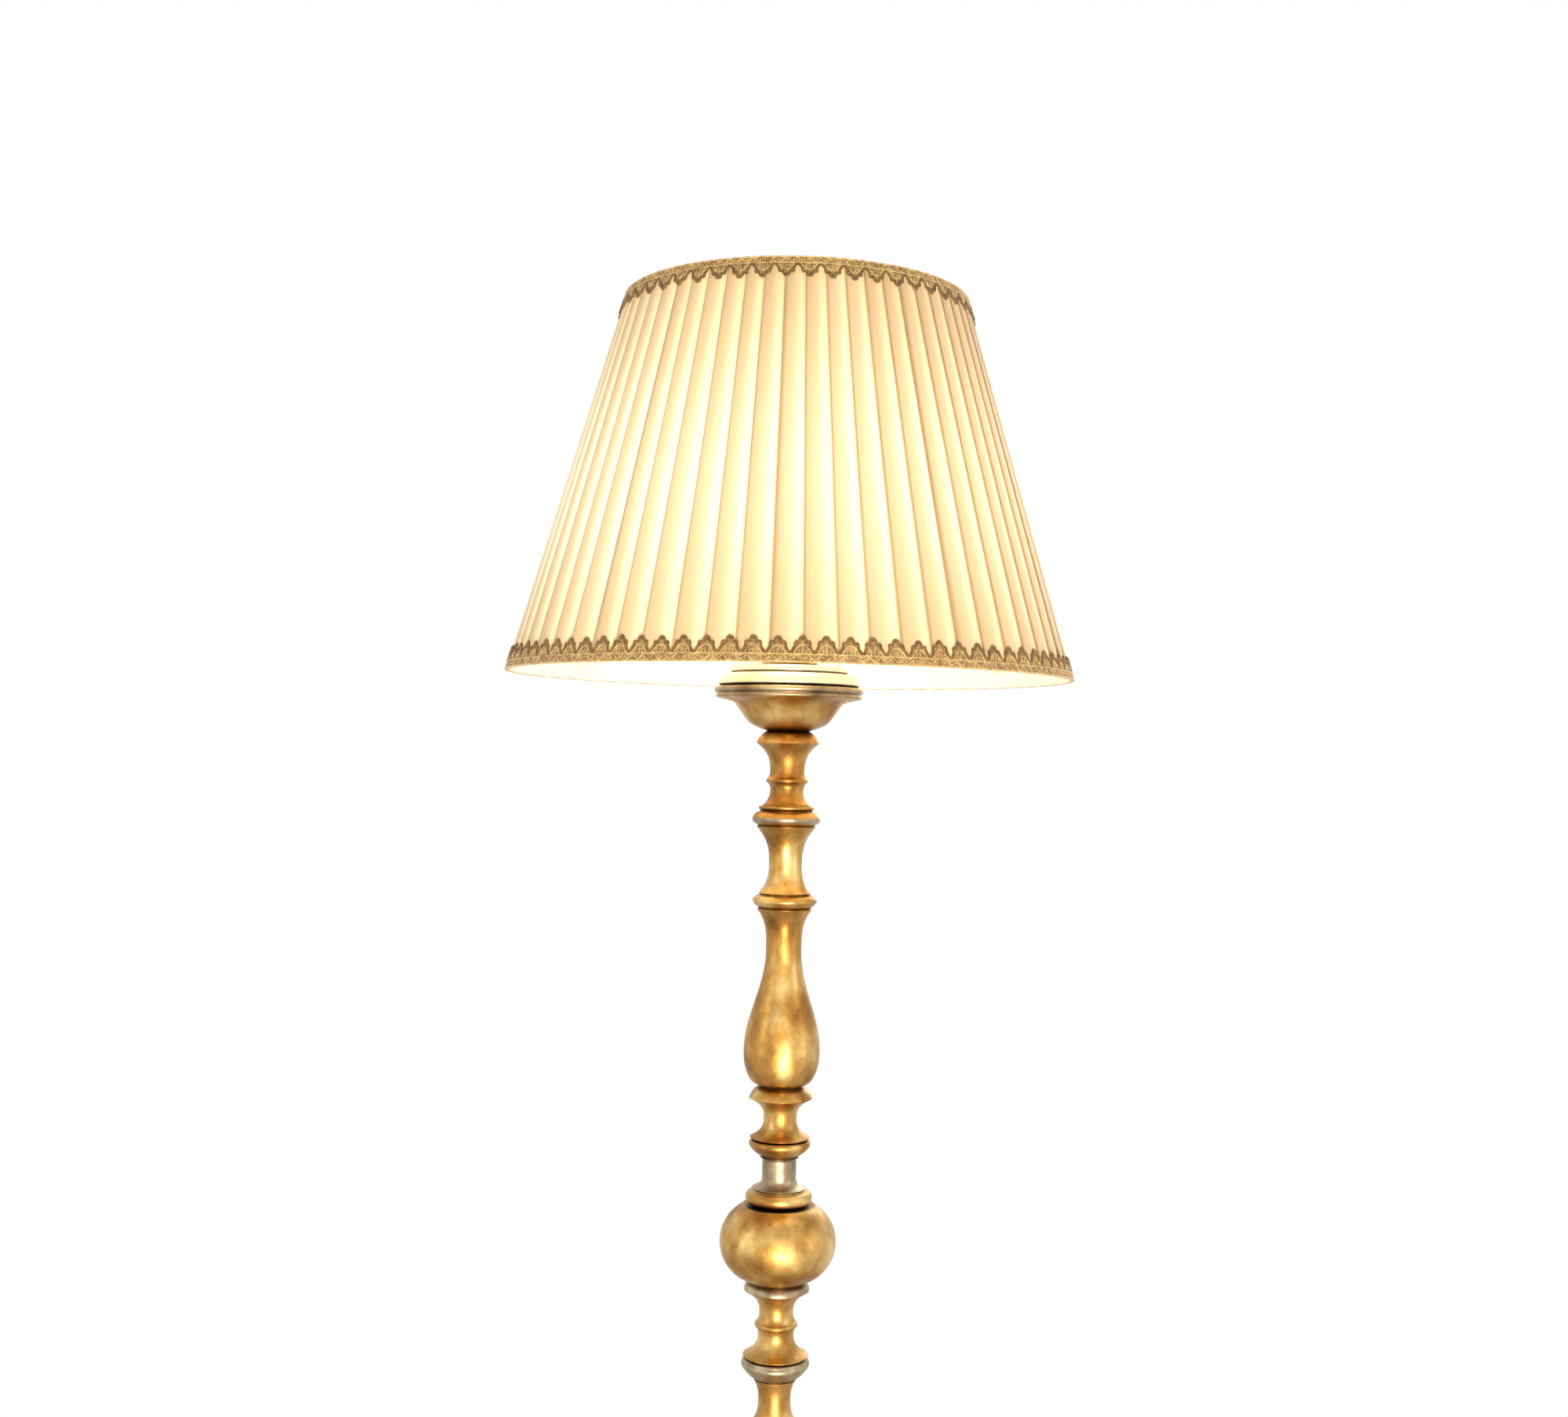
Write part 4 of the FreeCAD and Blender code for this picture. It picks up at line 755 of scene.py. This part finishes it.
def onBraid(run, i, x, h, out):  # a scallop's point in mm, laid on the shade, with the way out from it
    ref = shadeR(run["edge"])
    wideScale = fullTurn * ref / run["scallops"] / (unit["pitch"] * mm)
    tallScale = run["tall"] / (unit["tall"] * mm)
    lean, shift, grow = run["varied"][i]
    upper = smooth(7, 14, h)
    sideways = x * wideScale + (shift + lean * upper) * upper
    angle = fullTurn * (i + 0.5) / run["scallops"] + sideways * mm / ref
    z = run["edge"] + run["way"] * h * mm * tallScale * (1 + (grow - 1) * upper * 0.5)
    normal = Vector((math.cos(angle), math.sin(angle), -shade["slope"])).normalized()
    return onShade(angle, z, out * mm), normal


def addTube(bm, uv, spots, radius, sides, closed):  # a round cord through (point, way out) spots
    points, outs = zip(*spots)
    rings = []
    count = len(points)
    along = [0.0]
    for i, point in enumerate(points):
        after = points[(i + 1) % count] if closed or i < count - 1 else point
        before = points[i - 1] if closed or i > 0 else point
        ahead = (after - before).normalized()
        side = ahead.cross(outs[i]).normalized()
        up = side.cross(ahead)
        rings.append([bm.verts.new(point + (side * math.cos(a) + up * math.sin(a)) * radius)
                      for a in (fullTurn * k / sides for k in range(sides))])
        along.append(along[-1] + (after - point).length)
    for i in range(count if closed else count - 1):
        here, there = rings[i], rings[(i + 1) % count]
        for k in range(sides):
            m = (k + 1) % sides
            face = bm.faces.new((here[k], here[m], there[m], there[k]))
            corners = ((along[i], k), (along[i], k + 1), (along[i + 1], k + 1), (along[i + 1], k))
            for loop, (u, v) in zip(face.loops, corners):
                loop[uv].uv = (u, v * radius)
    if not closed:
        for ring in (rings[0], rings[-1]):
            bm.faces.new(ring)


def runCord(bm, uv, run, half):
    radius, out = cordSizes[half]
    spots = [onBraid(run, i, x, h, out) for i in range(run["scallops"]) for x, h in wholeUnit(unit[half])]
    addTube(bm, uv, spots, radius * mm, 6, True)


def makeEdging(name, run):  # the thick cord round the scallops, with a small eye at each tip
    bm = bmesh.new()
    uv = bm.loops.layers.uv.new("cloth")
    runCord(bm, uv, run, "outer")
    for i in range(run["scallops"]):
        turns = [fullTurn * k / eye["points"] for k in range(eye["points"])]
        loop = [(eye["halfWide"] * math.cos(a), eye["high"] + eye["halfTall"] * math.sin(a)) for a in turns]
        spots = [onBraid(run, i, x, h, eye["out"]) for x, h in loop]
        addTube(bm, uv, spots, eye["radius"] * mm, 5, True)
    bmesh.ops.recalc_face_normals(bm, faces=bm.faces)
    return addPiece(name + "Edging", bm, edgeThread, "shade")


def makeCords(name, run):  # fine cords along the web, two straight rails and the stitches between them
    bm = bmesh.new()
    uv = bm.loops.layers.uv.new("cloth")
    runCord(bm, uv, run, "inner")
    runCord(bm, uv, run, "lace")
    for high, radius, out in rails:
        spots = [onBraid(run, k // 6, (k % 6 - 3) / 6 * unit["pitch"], high + 0.15 * math.sin(k * 1.7), out)
                 for k in range(run["scallops"] * 6)]
        addTube(bm, uv, spots, radius * mm, 6, True)
    for i in range(run["scallops"]):
        for x, low, high in stitches:
            spots = [onBraid(run, i, x + stitch["lean"] * t, low + (high - low) * t,
                             stitch["out"] + stitch["arch"] * math.sin(math.pi * t))
                     for t in (0, 0.33, 0.67, 1)]
            addTube(bm, uv, spots, stitch["radius"] * mm, 5, False)
    bmesh.ops.recalc_face_normals(bm, faces=bm.faces)
    piece = addPiece(name + "Cords", bm, cordThread, "shade")
    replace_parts(piece, run["node"])
    return piece


def makeWeb(name, run):  # the woven ground that the cords are sewn to
    bm = bmesh.new()
    uv = bm.loops.layers.uv.new("cloth")
    columns = [(i, x, h) for i in range(run["scallops"]) for x, h in wholeUnit(unit["web"])]
    rows = []
    for share in (0.0, 0.25, 0.5, 0.75, 1.0):
        out = web["out"] + web["ripple"] * math.sin(9 * share)
        rows.append([bm.verts.new(onBraid(run, i, x, web["foot"] + (h - web["foot"]) * share, out)[0])
                     for i, x, h in columns])
    joinRows(bm, rows)
    for face in bm.faces:
        for loop in face.loops:
            spot = loop.vert.co
            loop[uv].uv = (math.atan2(spot.y, spot.x) * shadeR(run["edge"]), spot.z)
    bmesh.ops.recalc_face_normals(bm, faces=bm.faces)
    return addPiece(name + "Web", bm, webThread, "shade")


def makeBraid(name, run):
    run["varied"] = handVaried(run)
    return [makeEdging(name, run), makeCords(name, run), makeWeb(name, run)]


print("braids")
braids = [piece for name, run in runs.items() for piece in makeBraid(name, run)]
